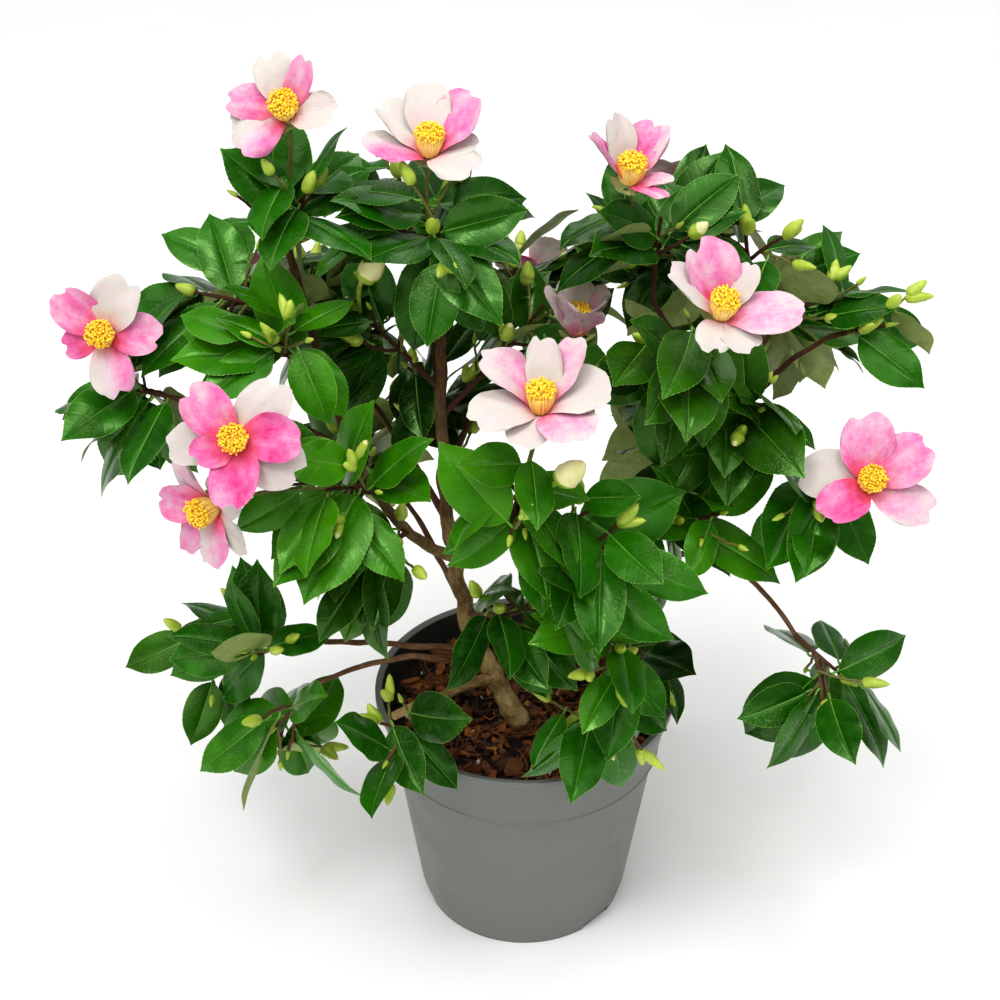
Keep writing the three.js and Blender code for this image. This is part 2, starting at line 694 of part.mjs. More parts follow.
// A bloom in one closed surface: its back, petals and drum of stamens are the rings of a cylinder.
function bloomSolid(bloom, index) {
  const heart = vec(bloom.heart);
  const faces = vec(bloom.faces).normalize();
  const [across, over] = squareTo(faces);
  const rim = petalRim(index);
  const columns = 3 * PETALS;
  const rows = [
    (column) => [rim(column).reach * bloom.petal, rim(column).lift * bloom.petal],
    () => [STAMENS.footRadius, 1],
    () => [STAMENS.radius, STAMENS.height],
  ];
  const geometry = new THREE.CylinderGeometry(1, 1, 1, columns, rows.length - 1);
  shaped(geometry, (p) => {
    const row = Math.round((p.y + 0.5) * (rows.length - 1));
    const column = (Math.round((Math.atan2(p.x, p.z) / (2 * Math.PI)) * columns) + columns) % columns;
    const onAxis = Math.hypot(p.x, p.z) < 0.5;
    const end = row === 0 ? -CALYX.depth : STAMENS.height + STAMENS.dome;
    const [radius, height] = onAxis ? [0, end] : rows[row](column);
    const { angle } = rim(column);
    return heart
      .clone()
      .addScaledVector(faces, height)
      .addScaledVector(across, radius * Math.cos(angle))
      .addScaledVector(over, radius * Math.sin(angle));
  });
  return solid(geometry);
}

// A bloom's stalk runs from the spray's twig into the bloom's back, on the side that it comes from.
function stalkSolid(bloom, start) {
  const heart = vec(bloom.heart);
  const faces = vec(bloom.faces).normalize();
  const aside = start.clone().sub(heart);
  aside.addScaledVector(faces, -aside.dot(faces)).normalize();
  const end = heart.clone().addScaledVector(aside, CALYX.stalkAside);
  return straightTwig(start, end);
}

function spraySolid(grown) {
  const { spray, curve, shoots, leaves, fromTip } = grown;
  const parts = [limbSolid(curve, (t) => taperOf(TWIG, t), TWIG.sides, TWIG.steps)];
  parts.push(...shoots.filter((shoot) => shoot.side).map(shootSolid), ...leaves.map(leafSolid));
  BLOOMS.forEach((bloom, index) => {
    if (bloom.spray !== spray.name) return;
    parts.push(bloomSolid(bloom, index), stalkSolid(bloom, curve.getPoint(TWIG.stalkAt)));
  });
  const joined = wasm.Manifold.union(parts);
  return fromTip ? largest(joined) : clearOfParent(joined, limbs.get(spray.from));
}

growLimbs();
keepBloomsOpen();
const sprays = SPRAYS.map(growTwig);
for (const grown of sprays) {
  growSideShoots(grown);
  growLeaves(grown);
}
sprays.forEach(growBuds);

const shrub = new THREE.Group();
shrub.add(meshOf(potSolid(), "pot", COLOURS.pot));
shrub.add(meshOf(mulchSolid(), "bark_mulch", COLOURS.mulch));
for (const limb of limbs.values()) shrub.add(meshOf(limb.solid, limb.name, COLOURS.bark));
for (const item of sprays) shrub.add(meshOf(spraySolid(item), "leaves_" + item.spray.name, COLOURS.leaf));

export default shrub;
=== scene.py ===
# A camellia shrub in bloom in its nursery pot: the surfaces that are seen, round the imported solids.
# Growth follows the same rule and numbers as the solids, in millimetres, and meshes are made in metres.
import math
import re

import bpy
import numpy as np
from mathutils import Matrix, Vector, noise


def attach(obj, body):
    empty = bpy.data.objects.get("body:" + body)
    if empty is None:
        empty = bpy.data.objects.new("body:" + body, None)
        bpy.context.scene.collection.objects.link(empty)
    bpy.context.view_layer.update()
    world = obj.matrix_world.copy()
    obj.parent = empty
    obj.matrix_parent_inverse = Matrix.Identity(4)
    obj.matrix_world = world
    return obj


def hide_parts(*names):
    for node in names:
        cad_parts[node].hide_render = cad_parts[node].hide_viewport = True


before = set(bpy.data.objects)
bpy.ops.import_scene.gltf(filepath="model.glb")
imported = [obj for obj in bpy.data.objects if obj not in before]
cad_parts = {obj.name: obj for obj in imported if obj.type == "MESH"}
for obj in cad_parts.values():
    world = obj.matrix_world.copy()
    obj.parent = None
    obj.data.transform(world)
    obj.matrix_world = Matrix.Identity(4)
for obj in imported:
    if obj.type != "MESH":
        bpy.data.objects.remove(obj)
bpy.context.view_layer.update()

MM = 0.001
# The length in millimetres that UVs count as 1.
UV_SIZE = 100
BODY = "root"
UP = np.array([0.0, 0.0, 1.0])
LOOKS_SEED = 4711
# Without a seed, the noise that limbs wander by would change from run to run.
noise.seed_set(LOOKS_SEED)

# The camera: lens and place give the photograph's framing in a square picture.
CAMERA = {"lens": 65.0, "place": (-0.0174, -1.0055, 0.9623), "tilt_deg": 57.9}

GAP = 0.3
POT = {
    "height": 179, "lip_radius": 105, "lip_height": 5, "collar_height": 40, "collar_radius": 102.4,
    "collar_foot_radius": 95.6, "body_top_radius": 93, "foot_radius": 72.5, "wall": 2.2, "floor": 3,
}
NOTCH = {"count": 3, "first_deg": -44, "width": 26, "height": 7, "depth": 3}
MULCH_TOP = 163

# Stems: the points that guide each curve, and the radius at foot and tip. A foot given as a limb's name
# and a share is that point of its curve.
STEMS = {
    "trunk": {"guides": [(-5, -18, MULCH_TOP), (-45, -6, 235), (-62, 0, 300), (-52, 0, 500)],
              "radii": (7.2, 3.0), "flare": 1.6},
    "stem_right": {"guides": [(17, 14, MULCH_TOP), (45, 20, 240), (118, 20, 350), (146, 30, 464)],
                   "radii": (5.2, 2.4), "flare": 1.2},
    "stem_left": {"guides": [("trunk", 0.52), (-104, -52, 340), (-118, -60, 440), (-144, -8, 512)],
                  "radii": (3.7, 2.3), "flare": 0},
}
FLARE_SHARE = 0.12

# Boughs: the limb and share where each starts, its tip, and how far its two guides lie above the line.
BOUGHS = {
    "cut_branch": ("trunk", 0.15, (-88, -68, 205), (4, 2)),
    "bough_left_tip": ("stem_left", 0.48, (-194, -30, 418), (14, 12)),
    "bough_front": ("trunk", 0.56, (-8, -84, 386), (4, 8)),
    "bough_low_front": ("stem_right", 0.3, (54, -74, 268), (14, 14)),
    "bough_right_lobe": ("stem_right", 0.56, (164, -26, 376), (6, 10)),
    "bough_right_hang": ("stem_right", 0.32, (174, -60, 266), (56, 66)),
    "bough_right_outer": ("stem_right", 0.74, (190, 14, 444), (0, 4)),
    "bough_top_right": ("stem_right", 0.76, (78, 8, 470), (4, 8)),
    "bough_low_left": ("trunk", 0.24, (-188, -34, 240), (4, 6)),
    "bough_left_bottom": ("trunk", 0.19, (-138, -52, 220), (16, 20)),
    "bough_back_top": ("trunk", 0.78, (-66, 78, 452), (2, 6)),
    "bough_back_left": ("trunk", 0.6, (-128, 92, 388), (8, 10)),
    "bough_back_mid": ("trunk", 0.68, (-12, 112, 392), (8, 10)),
    "bough_back_right": ("stem_right", 0.62, (160, 96, 392), (8, 10)),
    "bough_back_low_left": ("trunk", 0.34, (-90, 80, 290), (8, 10)),
    "bough_back_low_right": ("stem_right", 0.32, (86, 96, 286), (8, 10)),
}
BOUGH_RADII = (2.9, 1.8)
CUT_BRANCH_RADII = (3.8, 2.9)

# Sprays of leaves: the limb and share where each one's twig starts, its heart, its reach, how many side
# shoots it has, its seed, its tint, its finer shoots' seed, and the share of its leaves that is left out,
# where the photo shows an open spray.
SPRAYS = {
    "crown_top": ("trunk", 1, (-58, -2, 513), 70, 4, 0, "deep", 9, 0),
    "top_left": ("stem_left", 1, (-139, 2, 527), 70, 4, 7, "mid", 1, 0),
    "left_upper": ("stem_left", 0.86, (-196, 8, 467), 62, 3, 1, "mid", 3, 0),
    "left_tip": ("bough_left_tip", 1, (-238, -24, 420), 70, 2, 3, "mid", 8, 0),
    "left_mid": ("stem_left", 0.7, (-149, -42, 462), 62, 3, 0, "bright", 9, 0),
    "mid_upper": ("trunk", 0.84, (-98, 26, 441), 60, 3, 8, "deep", 9, 0),
    "mid_left": ("stem_left", 0.4, (-111, -94, 393), 64, 3, 8, "bright", 3, 0.2),
    "mid_back": ("trunk", 0.58, (-50, 46, 390), 66, 3, 0, "shaded", 7, 0),
    "mid_low_left": ("stem_left", 0.2, (-91, -74, 332), 62, 3, 4, "olive", 10, 0.3),
    "centre_right": ("trunk", 0.8, (9, 14, 449), 64, 3, 1, "olive", 13, 0),
    "right_centre": ("bough_top_right", 0.7, (83, -62, 454), 60, 3, 4, "olive", 7, 0.2),
    "top_right": ("bough_top_right", 1, (75, 10, 511), 64, 3, 4, "deep", 0, 0),
    "top_right_outer": ("stem_right", 1, (126, 20, 501), 62, 4, 5, "deep", 8, 0),
    "right_upper": ("stem_right", 0.9, (184, 30, 465), 58, 3, 7, "deep", 8, 0),
    "right_outer": ("bough_right_outer", 1, (215, 10, 446), 50, 2, 0, "mid", 11, 0),
    "right_mid": ("stem_right", 0.72, (130, -50, 419), 60, 3, 4, "olive", 13, 0.26),
    "right_lobe": ("bough_right_lobe", 1, (177, -50, 373), 64, 3, 2, "mid", 5, 0),
    "centre": ("bough_front", 1, (-5, -108, 401), 60, 3, 1, "bright", 8, 0.15),
    "centre_low": ("bough_front", 0.74, (47, -112, 363), 62, 3, 7, "mid", 3, 0.34),
    "low_mid": ("trunk", 0.36, (-11, -80, 295), 58, 3, 0, "deep", 12, 0.45),
    "low_right_mid": ("bough_low_front", 1, (51, -94, 289), 64, 3, 7, "bright", 0, 0.42),
    "right_low": ("stem_right", 0.46, (108, -70, 363), 62, 3, 4, "bright", 1, 0.15),
    "right_hang": ("bough_right_hang", 1, (193, -62, 239), 76, 2, 3, "deep", 6, 0.36),
    "low_left": ("bough_low_left", 0.72, (-180, -44, 249), 62, 3, 0, "mid", 6, 0),
    "far_left_low": ("bough_low_left", 1, (-215, -24, 215), 56, 2, 1, "olive", 10, 0),
    "left_bottom": ("bough_left_bottom", 1, (-155, -70, 205), 72, 3, 5, "bright", 6, 0.25),
    "bottom_left": ("cut_branch", 0.7, (-84, -120, 219), 54, 2, 1, "deep", 4, 0.55),
    "bottom_right": ("bough_low_front", 0.72, (47, -108, 225), 60, 3, 6, "mid", 3, 0.42),
    "low_right_back": ("stem_right", 0.16, (95, 2, 205), 52, 2, 6, "shaded", 10, 0),
    "back_top_left": ("bough_back_top", 1, (-84, 112, 472), 70, 3, 15, "bright", 8, 0),
    "back_top_right": ("stem_right", 0.84, (96, 104, 470), 70, 3, 18, "shaded", 7, 0),
    "back_left": ("bough_back_left", 1, (-160, 122, 396), 76, 3, 20, "shaded", 7, 0),
    "back_mid": ("bough_back_mid", 1, (2, 146, 398), 76, 3, 20, "shaded", 4, 0),
    "back_right": ("bough_back_right", 1, (178, 128, 398), 76, 3, 9, "olive", 9, 0),
    "back_low_left": ("bough_back_low_left", 1, (-112, 114, 292), 72, 3, 16, "olive", 2, 0),
    "back_low_right": ("bough_back_low_right", 1, (98, 128, 290), 72, 3, 15, "shaded", 5, 0),
}

# Blooms: spray, centre, the way it faces, petal length, how many degrees its petals rise from flat and it
# nods up from the way it faces, and its petals. A petal is its place in degrees, counted from the top
# towards the left, its kind (white, pale, mixed, pink or hot pink), n where it is narrow, how many degrees
# more it rises than the others, and its size.
BLOOMS = [
    ("top_left", (-141, -6, 598), (0.0, -0.88, 0.48), 35, (24, 16),
     "12W+6 74P-4 104W-14*.9 134M-8 254W+2 322Pn+14"),
    ("crown_top", (-58, -12, 576), (0.02, -0.5, 0.87), 42, (28, 14),
     "2W+14 54W+2 106M-6 216W-12 262W-4*.7 298P+10"),
    ("top_right", (58, -4, 556), (0.25, -0.5, 0.83), 38, (44, 14),
     "15Wn+16 62Pn+4 196Pn-24*.75 238Ln-12*.7 284Ln+4 312P+10"),
    ("left_tip", (-254, -34, 470), (-0.08, -0.9, 0.42), 38, (18, 4),
     "48P+4 104H-4*.72 192M-8 272P+2 338W+4"),
    ("mid_left", (-166, -124, 449), (-0.02, -0.84, 0.54), 41, (14, 2),
     "44P+4 92W-9 124H+12*.62 186H+2 238W-12 276H+6*.94 322W-2"),
    ("mid_left", (-184, -112, 398), (-0.6, -0.75, 0.1), 36, (26, 0),
     "30Ln 84P+6*.9 150Pn-8*1.1 196M-4 246Wn-12 318W"),
    ("centre", (5, -130, 472), (0.02, -0.42, 0.91), 43, (22, 12),
     "344Wn+36*.88 56Ln+22*1.06 106W-4*1.05 156W-14*.8 216L-10 272W+2 314Ln+26"),
    ("right_centre", (107, -84, 508), (0.18, -0.6, 0.78), 42, (26, 10),
     "12P+24 60Wn+16 150W-10*.7 246L-4*1.14 306Wn+18*.8 196W-16*.7"),
    ("right_lobe", (205, -74, 390), (0.04, -0.8, 0.6), 42, (18, 6),
     "10P+6 76W-4 130H+2*.9 232L-4 298P+8 330W-12*.86"),
    ("centre_right", (30, -2, 456), (0.35, -0.1, 0.93), 34, (64, 18),
     "0W 58L+5 118L-3 176W+6 236L 300W+4"),
    ("back_left", (-190, 172, 396), (-0.45, 0.75, 0.48), 39, (28, 0),
     "0P+4 62W-6 118H+4 176L-8 240W 300P-4"),
    ("back_mid", (16, 206, 388), (0.1, 0.85, 0.52), 41, (28, 0),
     "10W+4 66P-6 130L+4 185H-6 246W+2 305M-6"),
    ("back_right", (204, 178, 392), (0.55, 0.66, 0.52), 40, (28, 0),
     "4P+4 58M-6 120W+4 172H-8 230L 296W-6"),
    ("back_top_right", (96, 156, 478), (0.05, 0.5, 0.86), 38, (28, 0),
     "0L+8 64W-4 116P+4 190W-8 236H+2 308L-6"),
]
BLOOM_TOP = {"up": 0.85, "back": 0.53}
BLOOM_SPACE = {"heart": 0.55, "round": (8, 75, 0.7, 0.46), "front": ((0.6, 1.2), 0.75), "ease": 0.55}
FRONT = np.array([0, -0.85, 0.53])

LEAF = {
    "shortest": 50, "longest": 80, "smallest": 0.76, "petiole": 5, "width_share": 0.6, "fold": 0.1,
    "sag": 0.12, "openings": (36, 56, 68, 76, 72), "outward": 0.15, "droop": (0.1, 0.5),
    "upper_outward": 0.55, "upper_tilt": 0.7, "to_light": (0, -0.45, 0), "lit_below": 0.3,
}
STATIONS = [(0.14, 0.38), (0.34, 0.81), (0.54, 0.88), (0.74, 0.65), (0.94, 0.22)]
TWIG = {"foot_radius": 2.2, "tip_radius": 1.7, "beyond_heart": 0.2, "rise": 0.35, "lift": 4, "stalk_at": 0.8}
SHOOT = {
    "opening_deg": 50, "share": 0.42, "jitter": 0.16, "lowest": 0.15, "below_tip": 20, "least_room": 0.3,
    "first_leaf": 2.5, "spacing": 9, "leaves": 5,
}
BUD = {"share": 0.22, "length": 18}
TURN = 144
RETRY_TURN = 47
TRIES = 8
CROWN_CENTRE = np.array([0, 10, 330])
SEEDS = {"spray": 1000, "fine": 7000, "bloom_leaves": 9000}
KEEP = {"limb": 6, "twig": (6, 2.8), "leaf": (6.6, 4.2), "bud": (8, 5), "pot": 6, "ground": 14}
PITCH = 4
UNTESTED = 2

# Finer shoots, which only the scene has: how many each spray tries, where they may start on its twig, and how
# much nearer to one another their leaves may be.
FINE = {"tries": 6, "lowest": 0.3, "opening_deg": 58, "share": 0.34, "jitter": 0.16, "keep": 0.78,
        "side_foot": (0.3, 0.9), "rise": 0.25}


def unit(v):
    return v / np.linalg.norm(v)


def seeded(seed):
    """A repeatable stream of numbers from 0 to 1, the same as in the solids' source."""
    state = seed & 0xFFFFFFFF

    def draw():
        nonlocal state
        state = (state + 0x6D2B79F5) & 0xFFFFFFFF
        t = ((state ^ (state >> 15)) * (state | 1)) & 0xFFFFFFFF
        t ^= (t + ((t ^ (t >> 7)) * (t | 61))) & 0xFFFFFFFF
        return (t ^ (t >> 14)) / 2**32

    return draw


def square_to(direction):
    """Two unit vectors square to a direction."""
    helper = UP if abs(direction[2]) < 0.9 else np.array([1.0, 0, 0])
    over = unit(np.cross(direction, helper))
    return unit(np.cross(over, direction)), over


def between(first, second, angle):
    """What lies between two vectors that are square to each other, by its angle from the first."""
    return first * math.cos(angle) + second * math.sin(angle)


def swung(x, y, angle):
    """Two coordinates after a turn by an angle."""
    return x * np.cos(angle) - y * np.sin(angle), x * np.sin(angle) + y * np.cos(angle)


def opened(axis, opening, turn):
    """A direction that opens from an axis by an angle, turned about it."""
    return between(axis, between(*square_to(axis), turn), opening)


class Curve:
    """A Bézier curve by its guide points."""

    STEP = 1e-4

    def __init__(self, *guides):
        self.guides = np.array(guides, float)

    def point(self, t):
        guides = self.guides
        while len(guides) > 1:
            guides = guides[:-1] * (1 - t) + guides[1:] * t
        return guides[0]

    def tangent(self, t):
        return unit(self.point(min(1, t + self.STEP)) - self.point(max(0, t - self.STEP)))

    def length(self):
        line = np.array([self.point(i / 200) for i in range(201)])
        return np.linalg.norm(np.diff(line, axis=0), axis=1).sum()


def marks_between(start, end):
    count = max(1, math.ceil(np.linalg.norm(end - start) / PITCH))
    return np.array([start + (end - start) * i / count for i in range(count + 1)])


class Space:
    """Points that shoots and leaves keep clear of. Each has an owner, and a distance to keep from it."""

    def __init__(self, rows=()):
        self.rows = [np.array(rows, float).reshape(-1, 6)]

    def add(self, points, owner, keep, own_keep=None):
        points = np.atleast_2d(points)
        row = np.empty((len(points), 6))
        row[:, :3] = points
        row[:, 3:] = owner, keep, keep if own_keep is None else own_keep
        self.rows.append(row)

    def joined(self):
        self.rows = [np.concatenate(self.rows)]
        return self.rows[0]

    def near(self, heart, radius):
        rows = self.joined()
        return Space(rows[((rows[:, :3] - heart) ** 2).sum(1) < radius**2])

    def is_clear(self, points, owner, ease=1.0):
        rows = self.joined()
        own = rows[:, 3] == owner
        keep = np.where(own, rows[:, 5], rows[:, 4]) * ease
        apart = ((points[:, None, :] - rows[None, :, :3]) ** 2).sum(2)
        return bool((apart >= keep**2).all())


def pot_outer_radius(z):
    collar_foot = POT["height"] - POT["collar_height"]
    if z >= POT["height"] - POT["lip_height"]:
        return POT["lip_radius"]
    if z >= collar_foot:
        share = (z - collar_foot) / POT["collar_height"]
        return POT["collar_foot_radius"] + share * (POT["collar_radius"] - POT["collar_foot_radius"])
    return POT["foot_radius"] + max(0, z) / collar_foot * (POT["body_top_radius"] - POT["foot_radius"])


def clear_of_pot(points):
    for x, y, z in points:
        radius, outer = math.hypot(x, y), pot_outer_radius(z)
        if z < KEEP["ground"]:
            return False
        if z < POT["height"] + KEEP["pot"] and abs(radius - outer) < KEEP["pot"]:
            return False
        if z < MULCH_TOP + KEEP["pot"] and radius < outer:
            return False
    return True


def grow_limbs(space):
    limbs = {}

    def add(name, curve, radii, flare=0):
        def radius_at(t):
            return radii[0] + (radii[1] - radii[0]) * t + flare * max(0, 1 - t / FLARE_SHARE) ** 2

        count = math.ceil(curve.length() / PITCH)
        for i in range(count + 1):
            space.add(curve.point(i / count), len(limbs), radius_at(i / count) + KEEP["limb"])
        limbs[name] = {"curve": curve, "radius_at": radius_at}

    for name, stem in STEMS.items():
        guides = [limbs[g[0]]["curve"].point(g[1]) if len(g) == 2 else g for g in stem["guides"]]
        add(name, Curve(*guides), stem["radii"], stem["flare"])
    for name, (parent, at, tip, lift) in BOUGHS.items():
        start, tip = limbs[parent]["curve"].point(at), np.array(tip, float)
        guides = [start + (tip - start) * (i + 1) / 3 + UP * lift[i] for i in range(2)]
        radii = CUT_BRANCH_RADII if name == "cut_branch" else BOUGH_RADII
        add(name, Curve(start, *guides, tip), radii)
    return limbs


def keep_blooms_open(space):
    count, opening, round_distance, round_radius = BLOOM_SPACE["round"]
    distances, front_radius = BLOOM_SPACE["front"]
    for _, heart, faces, petal, _, _ in BLOOMS:
        axis = unit(np.array(faces))
        space.add(heart, -1, BLOOM_SPACE["heart"] * petal)
        for k in range(count):
            rim = opened(axis, math.radians(opening), 2 * math.pi * k / count)
            space.add(heart + rim * round_distance * petal, -1, round_radius * petal)
        for distance in distances:
            for look in [axis] + [FRONT] * int(axis[1] < 0):
                space.add(heart + look * distance * petal, -1, front_radius * petal)


def new_shoot(start, end, kind):
    return {"start": start, "end": end, "kind": kind, "bud": False}


def grow_twig(name, index, limbs, space):
    """A spray's twig, which bends once. Beyond the bend it is the first shoot."""
    parent, at, heart, reach, shoot_count, seed, tint, fine_seed, left_out = SPRAYS[name]
    heart = np.array(heart, float)
    outward = unit(heart - CROWN_CENTRE)
    tip = heart + (outward + UP * TWIG["rise"]) * TWIG["beyond_heart"] * reach
    limb = limbs[parent]["curve"]
    start = limb.point(at)
    guide = (start + heart) / 2 + UP * TWIG["lift"]
    if at == 1:
        tangent = limb.tangent(1)
        slant = np.linalg.norm(np.cross(tangent, unit(guide - start)))
        start = start + tangent * (GAP + TWIG["foot_radius"] * slant)
    curve = Curve(start, guide, tip)
    bend = curve.point(0.5)
    space.add(marks_between(start, bend), 100 + index, *KEEP["twig"])
    space.add(marks_between(bend, tip), 100 + index, *KEEP["twig"])
    return {"name": name, "owner": 100 + index, "limb": limb, "at": at, "curve": curve, "heart": heart,
            "shoots": [new_shoot(bend, tip, "main")], "shoot_count": shoot_count,
            "reach": reach, "outward": outward, "rand": seeded(SEEDS["spray"] + seed), "leaves": [],
            "tint": tint, "fine_seed": SEEDS["fine"] + fine_seed, "left_out": left_out}


def grow_side_shoots(grown, space):
    """Side shoots beyond the twig's bend, where nothing is in their way."""
    main, count, rand = grown["shoots"][0], grown["shoot_count"], grown["rand"]
    axis = main["end"] - main["start"]
    room = max(SHOOT["least_room"], 1 - SHOOT["below_tip"] / np.linalg.norm(axis))
    for k in range(count):
        place = SHOOT["lowest"] + (1 - SHOOT["lowest"]) * k / max(1, count - 1)
        foot = main["start"] + axis * room * place
        turn = math.radians(TURN * k + 360 * rand())
        direction = opened(unit(axis), math.radians(SHOOT["opening_deg"]), turn)
        end = foot + direction * grown["reach"] * (SHOOT["share"] + SHOOT["jitter"] * rand())
        marks = marks_between(foot, end)[UNTESTED:]
        if space.is_clear(marks, grown["owner"]) and clear_of_pot(marks):
            grown["shoots"].append(new_shoot(foot, end, "plain"))
            space.add(marks_between(foot, end), grown["owner"], *KEEP["twig"])


def leaf_frame(start, direction, outward, length, tilt):
    upper = UP + outward * LEAF["upper_outward"] + tilt * LEAF["upper_tilt"]
    if outward[1] < LEAF["lit_below"]:
        upper = upper + LEAF["to_light"]
    upper = unit(upper - direction * upper.dot(direction))
    return {"start": start, "direction": direction, "upper": upper, "length": length,
            "side": np.cross(direction, upper)}


def leaf_point(leaf, share, across):
    """A point of a plain leaf at a share of its length, and so far to its side."""
    over = LEAF["fold"] * abs(across) - LEAF["sag"] * share**2 * leaf["length"]
    along = LEAF["petiole"] + share * leaf["length"]
    return leaf["start"] + leaf["direction"] * along + leaf["side"] * across + leaf["upper"] * over


def leaf_marks(leaf):
    half = LEAF["width_share"] * leaf["length"] / 2
    marks = [leaf_point(leaf, 0, 0)]
    marks += [leaf_point(leaf, s, side * w * half) for s, w in STATIONS for side in (-1, 0, 1)]
    return np.array(marks)


def grow_leaves(grown, shoots, rand, space, ease=1.0):
    """Leaves set along each shoot from its tip down, each two fifths of a turn on."""
    near = space.near(grown["heart"], grown["reach"] + 3 * KEEP["limb"])
    for shoot in shoots:
        axis = shoot["end"] - shoot["start"]
        length = np.linalg.norm(axis)
        axis = axis / length
        first_turn = 360 * rand()
        for k in range(SHOOT["leaves"]):
            back = SHOOT["first_leaf"] + SHOOT["spacing"] * k
            if back > length - SHOOT["first_leaf"]:
                break
            size = LEAF["shortest"] + (LEAF["longest"] - LEAF["shortest"]) * rand()
            droop = LEAF["droop"][0] + (LEAF["droop"][1] - LEAF["droop"][0]) * rand()
            tilt = np.array([rand() - 0.5, rand() - 0.5, rand() - 0.5])
            for attempt in range(TRIES):
                turn = math.radians(first_turn + TURN * k + RETRY_TURN * attempt)
                direction = opened(axis, math.radians(LEAF["openings"][k]), turn)
                direction = unit(direction + grown["outward"] * LEAF["outward"] - UP * droop)
                scale = 1 - (1 - LEAF["smallest"]) * attempt / (TRIES - 1)
                leaf = leaf_frame(shoot["end"] - axis * back, direction, grown["outward"], size * scale, tilt)
                marks = leaf_marks(leaf)
                if (np.linalg.norm(marks - grown["heart"], axis=1) >= grown["reach"]).any():
                    continue
                if clear_of_pot(marks) and near.is_clear(marks, grown["owner"], ease):
                    for place in (near, space):
                        place.add(marks, grown["owner"], *KEEP["leaf"])
                    grown["leaves"].append(leaf)
                    break


def grow_buds(grown, space):
    """A bud ends some of the side shoots, where nothing is in its way."""
    for shoot in grown["shoots"]:
        wanted = shoot["kind"] != "main" and grown["rand"]() < BUD["share"]
        axis = unit(shoot["end"] - shoot["start"])
        marks = marks_between(shoot["end"], shoot["end"] + axis * BUD["length"])[UNTESTED:]
        if wanted and clear_of_pot(marks) and space.is_clear(marks, grown["owner"]):
            space.add(marks, grown["owner"], *KEEP["bud"])
            shoot["bud"] = True


def grow_fine_shoots(grown, space):
    """Finer shoots on the twig and side shoots of a spray, wherever they find room, each with leaves."""
    rand = seeded(grown["fine_seed"])
    first = list(grown["shoots"])
    for _ in range(FINE["tries"]):
        carrier = first[int(rand() * len(first))]
        if carrier["kind"] == "main":
            share = FINE["lowest"] + (1 - FINE["lowest"]) * rand()
            foot, axis = grown["curve"].point(share), grown["curve"].tangent(share)
        else:
            lowest, highest = FINE["side_foot"]
            way = carrier["end"] - carrier["start"]
            foot, axis = carrier["start"] + way * (lowest + (highest - lowest) * rand()), unit(way)
        direction = opened(axis, math.radians(FINE["opening_deg"]), math.radians(360 * rand()))
        direction = unit(direction + UP * FINE["rise"])
        end = foot + direction * grown["reach"] * (FINE["share"] + FINE["jitter"] * rand())
        marks = marks_between(foot, end)[UNTESTED:]
        inside = np.linalg.norm(end - grown["heart"]) < grown["reach"]
        if not (inside and clear_of_pot(marks) and space.is_clear(marks, grown["owner"], FINE["keep"])):
            continue
        shoot = new_shoot(foot, end, "fine")
        before = len(grown["leaves"])
        grow_leaves(grown, [shoot], rand, space, FINE["keep"])
        if len(grown["leaves"]) > before:
            grown["shoots"].append(shoot)
            space.add(marks_between(foot, end), grown["owner"], *KEEP["twig"])


def bloom_frame(number):
    """The way a bloom faces, its top and its left."""
    _, _, faces, _, (_, nod_deg), _ = BLOOMS[number]
    axis = unit(np.array(faces))
    axis = between(axis, unit(UP - axis * axis[2]), math.radians(nod_deg))
    top = UP * BLOOM_TOP["up"] - axis * (1, 1, 0) * BLOOM_TOP["back"]
    top = unit(top - axis * axis.dot(top))
    return axis, top, np.cross(axis, top)


def grow_bloom_shoots(sprays, space):
    """Each bloom ends a shoot of its own, with leaves close under it."""
    for number, bloom in enumerate(BLOOMS):
        grown = next(g for g in sprays if g["name"] == bloom[0])
        foot = grown["curve"].point(TWIG["stalk_at"])
        back = np.array(bloom[1], float) - bloom_frame(number)[0] * CALYX["depth"]
        shoot = new_shoot(foot, back, "bloom")
        grow_leaves(grown, [shoot], seeded(SEEDS["bloom_leaves"] + number), space, BLOOM_SPACE["ease"])
        grown["shoots"].append(shoot)


def grow():
    space = Space()
    limbs = grow_limbs(space)
    keep_blooms_open(space)
    sprays = [grow_twig(name, index, limbs, space) for index, name in enumerate(SPRAYS)]
    for grown in sprays:
        grow_side_shoots(grown, space)
        grow_leaves(grown, grown["shoots"], grown["rand"], space)
    for grown in sprays:
        grow_buds(grown, space)
    for grown in sprays:
        grow_fine_shoots(grown, space)
    grow_bloom_shoots(sprays, space)
    return limbs, sprays


# Meshes of many small shapes, joined as they are made.

class Pile:
    """Points and faces of small shapes that become one piece."""

    def __init__(self):
        self.points, self.uvs, self.values, self.faces, self.slots = [], [], [], [], []
        self.count = 0

    def add(self, points, faces, slot=0, uvs=None, values=0.0):
        points = np.asarray(points, float)
        base = self.count
        self.points.append(points)
        self.uvs.append(np.zeros((len(points), 2)) if uvs is None else uvs)
        self.values.append(np.zeros(len(points)) + values)
        self.faces += [tuple(i + base for i in face) for face in faces]
        self.slots += [slot] * len(faces) if isinstance(slot, int) else list(slot)
        self.count += len(points)


def new_mesh(name, points, faces):
    """A mesh from points in millimetres."""
    mesh = bpy.data.meshes.new(name)
    mesh.from_pydata((np.asarray(points) * MM).tolist(), [], faces)
    return mesh


def new_object(name, data):
    made = bpy.data.objects.new(name, data)
    bpy.context.scene.collection.objects.link(made)
    return made


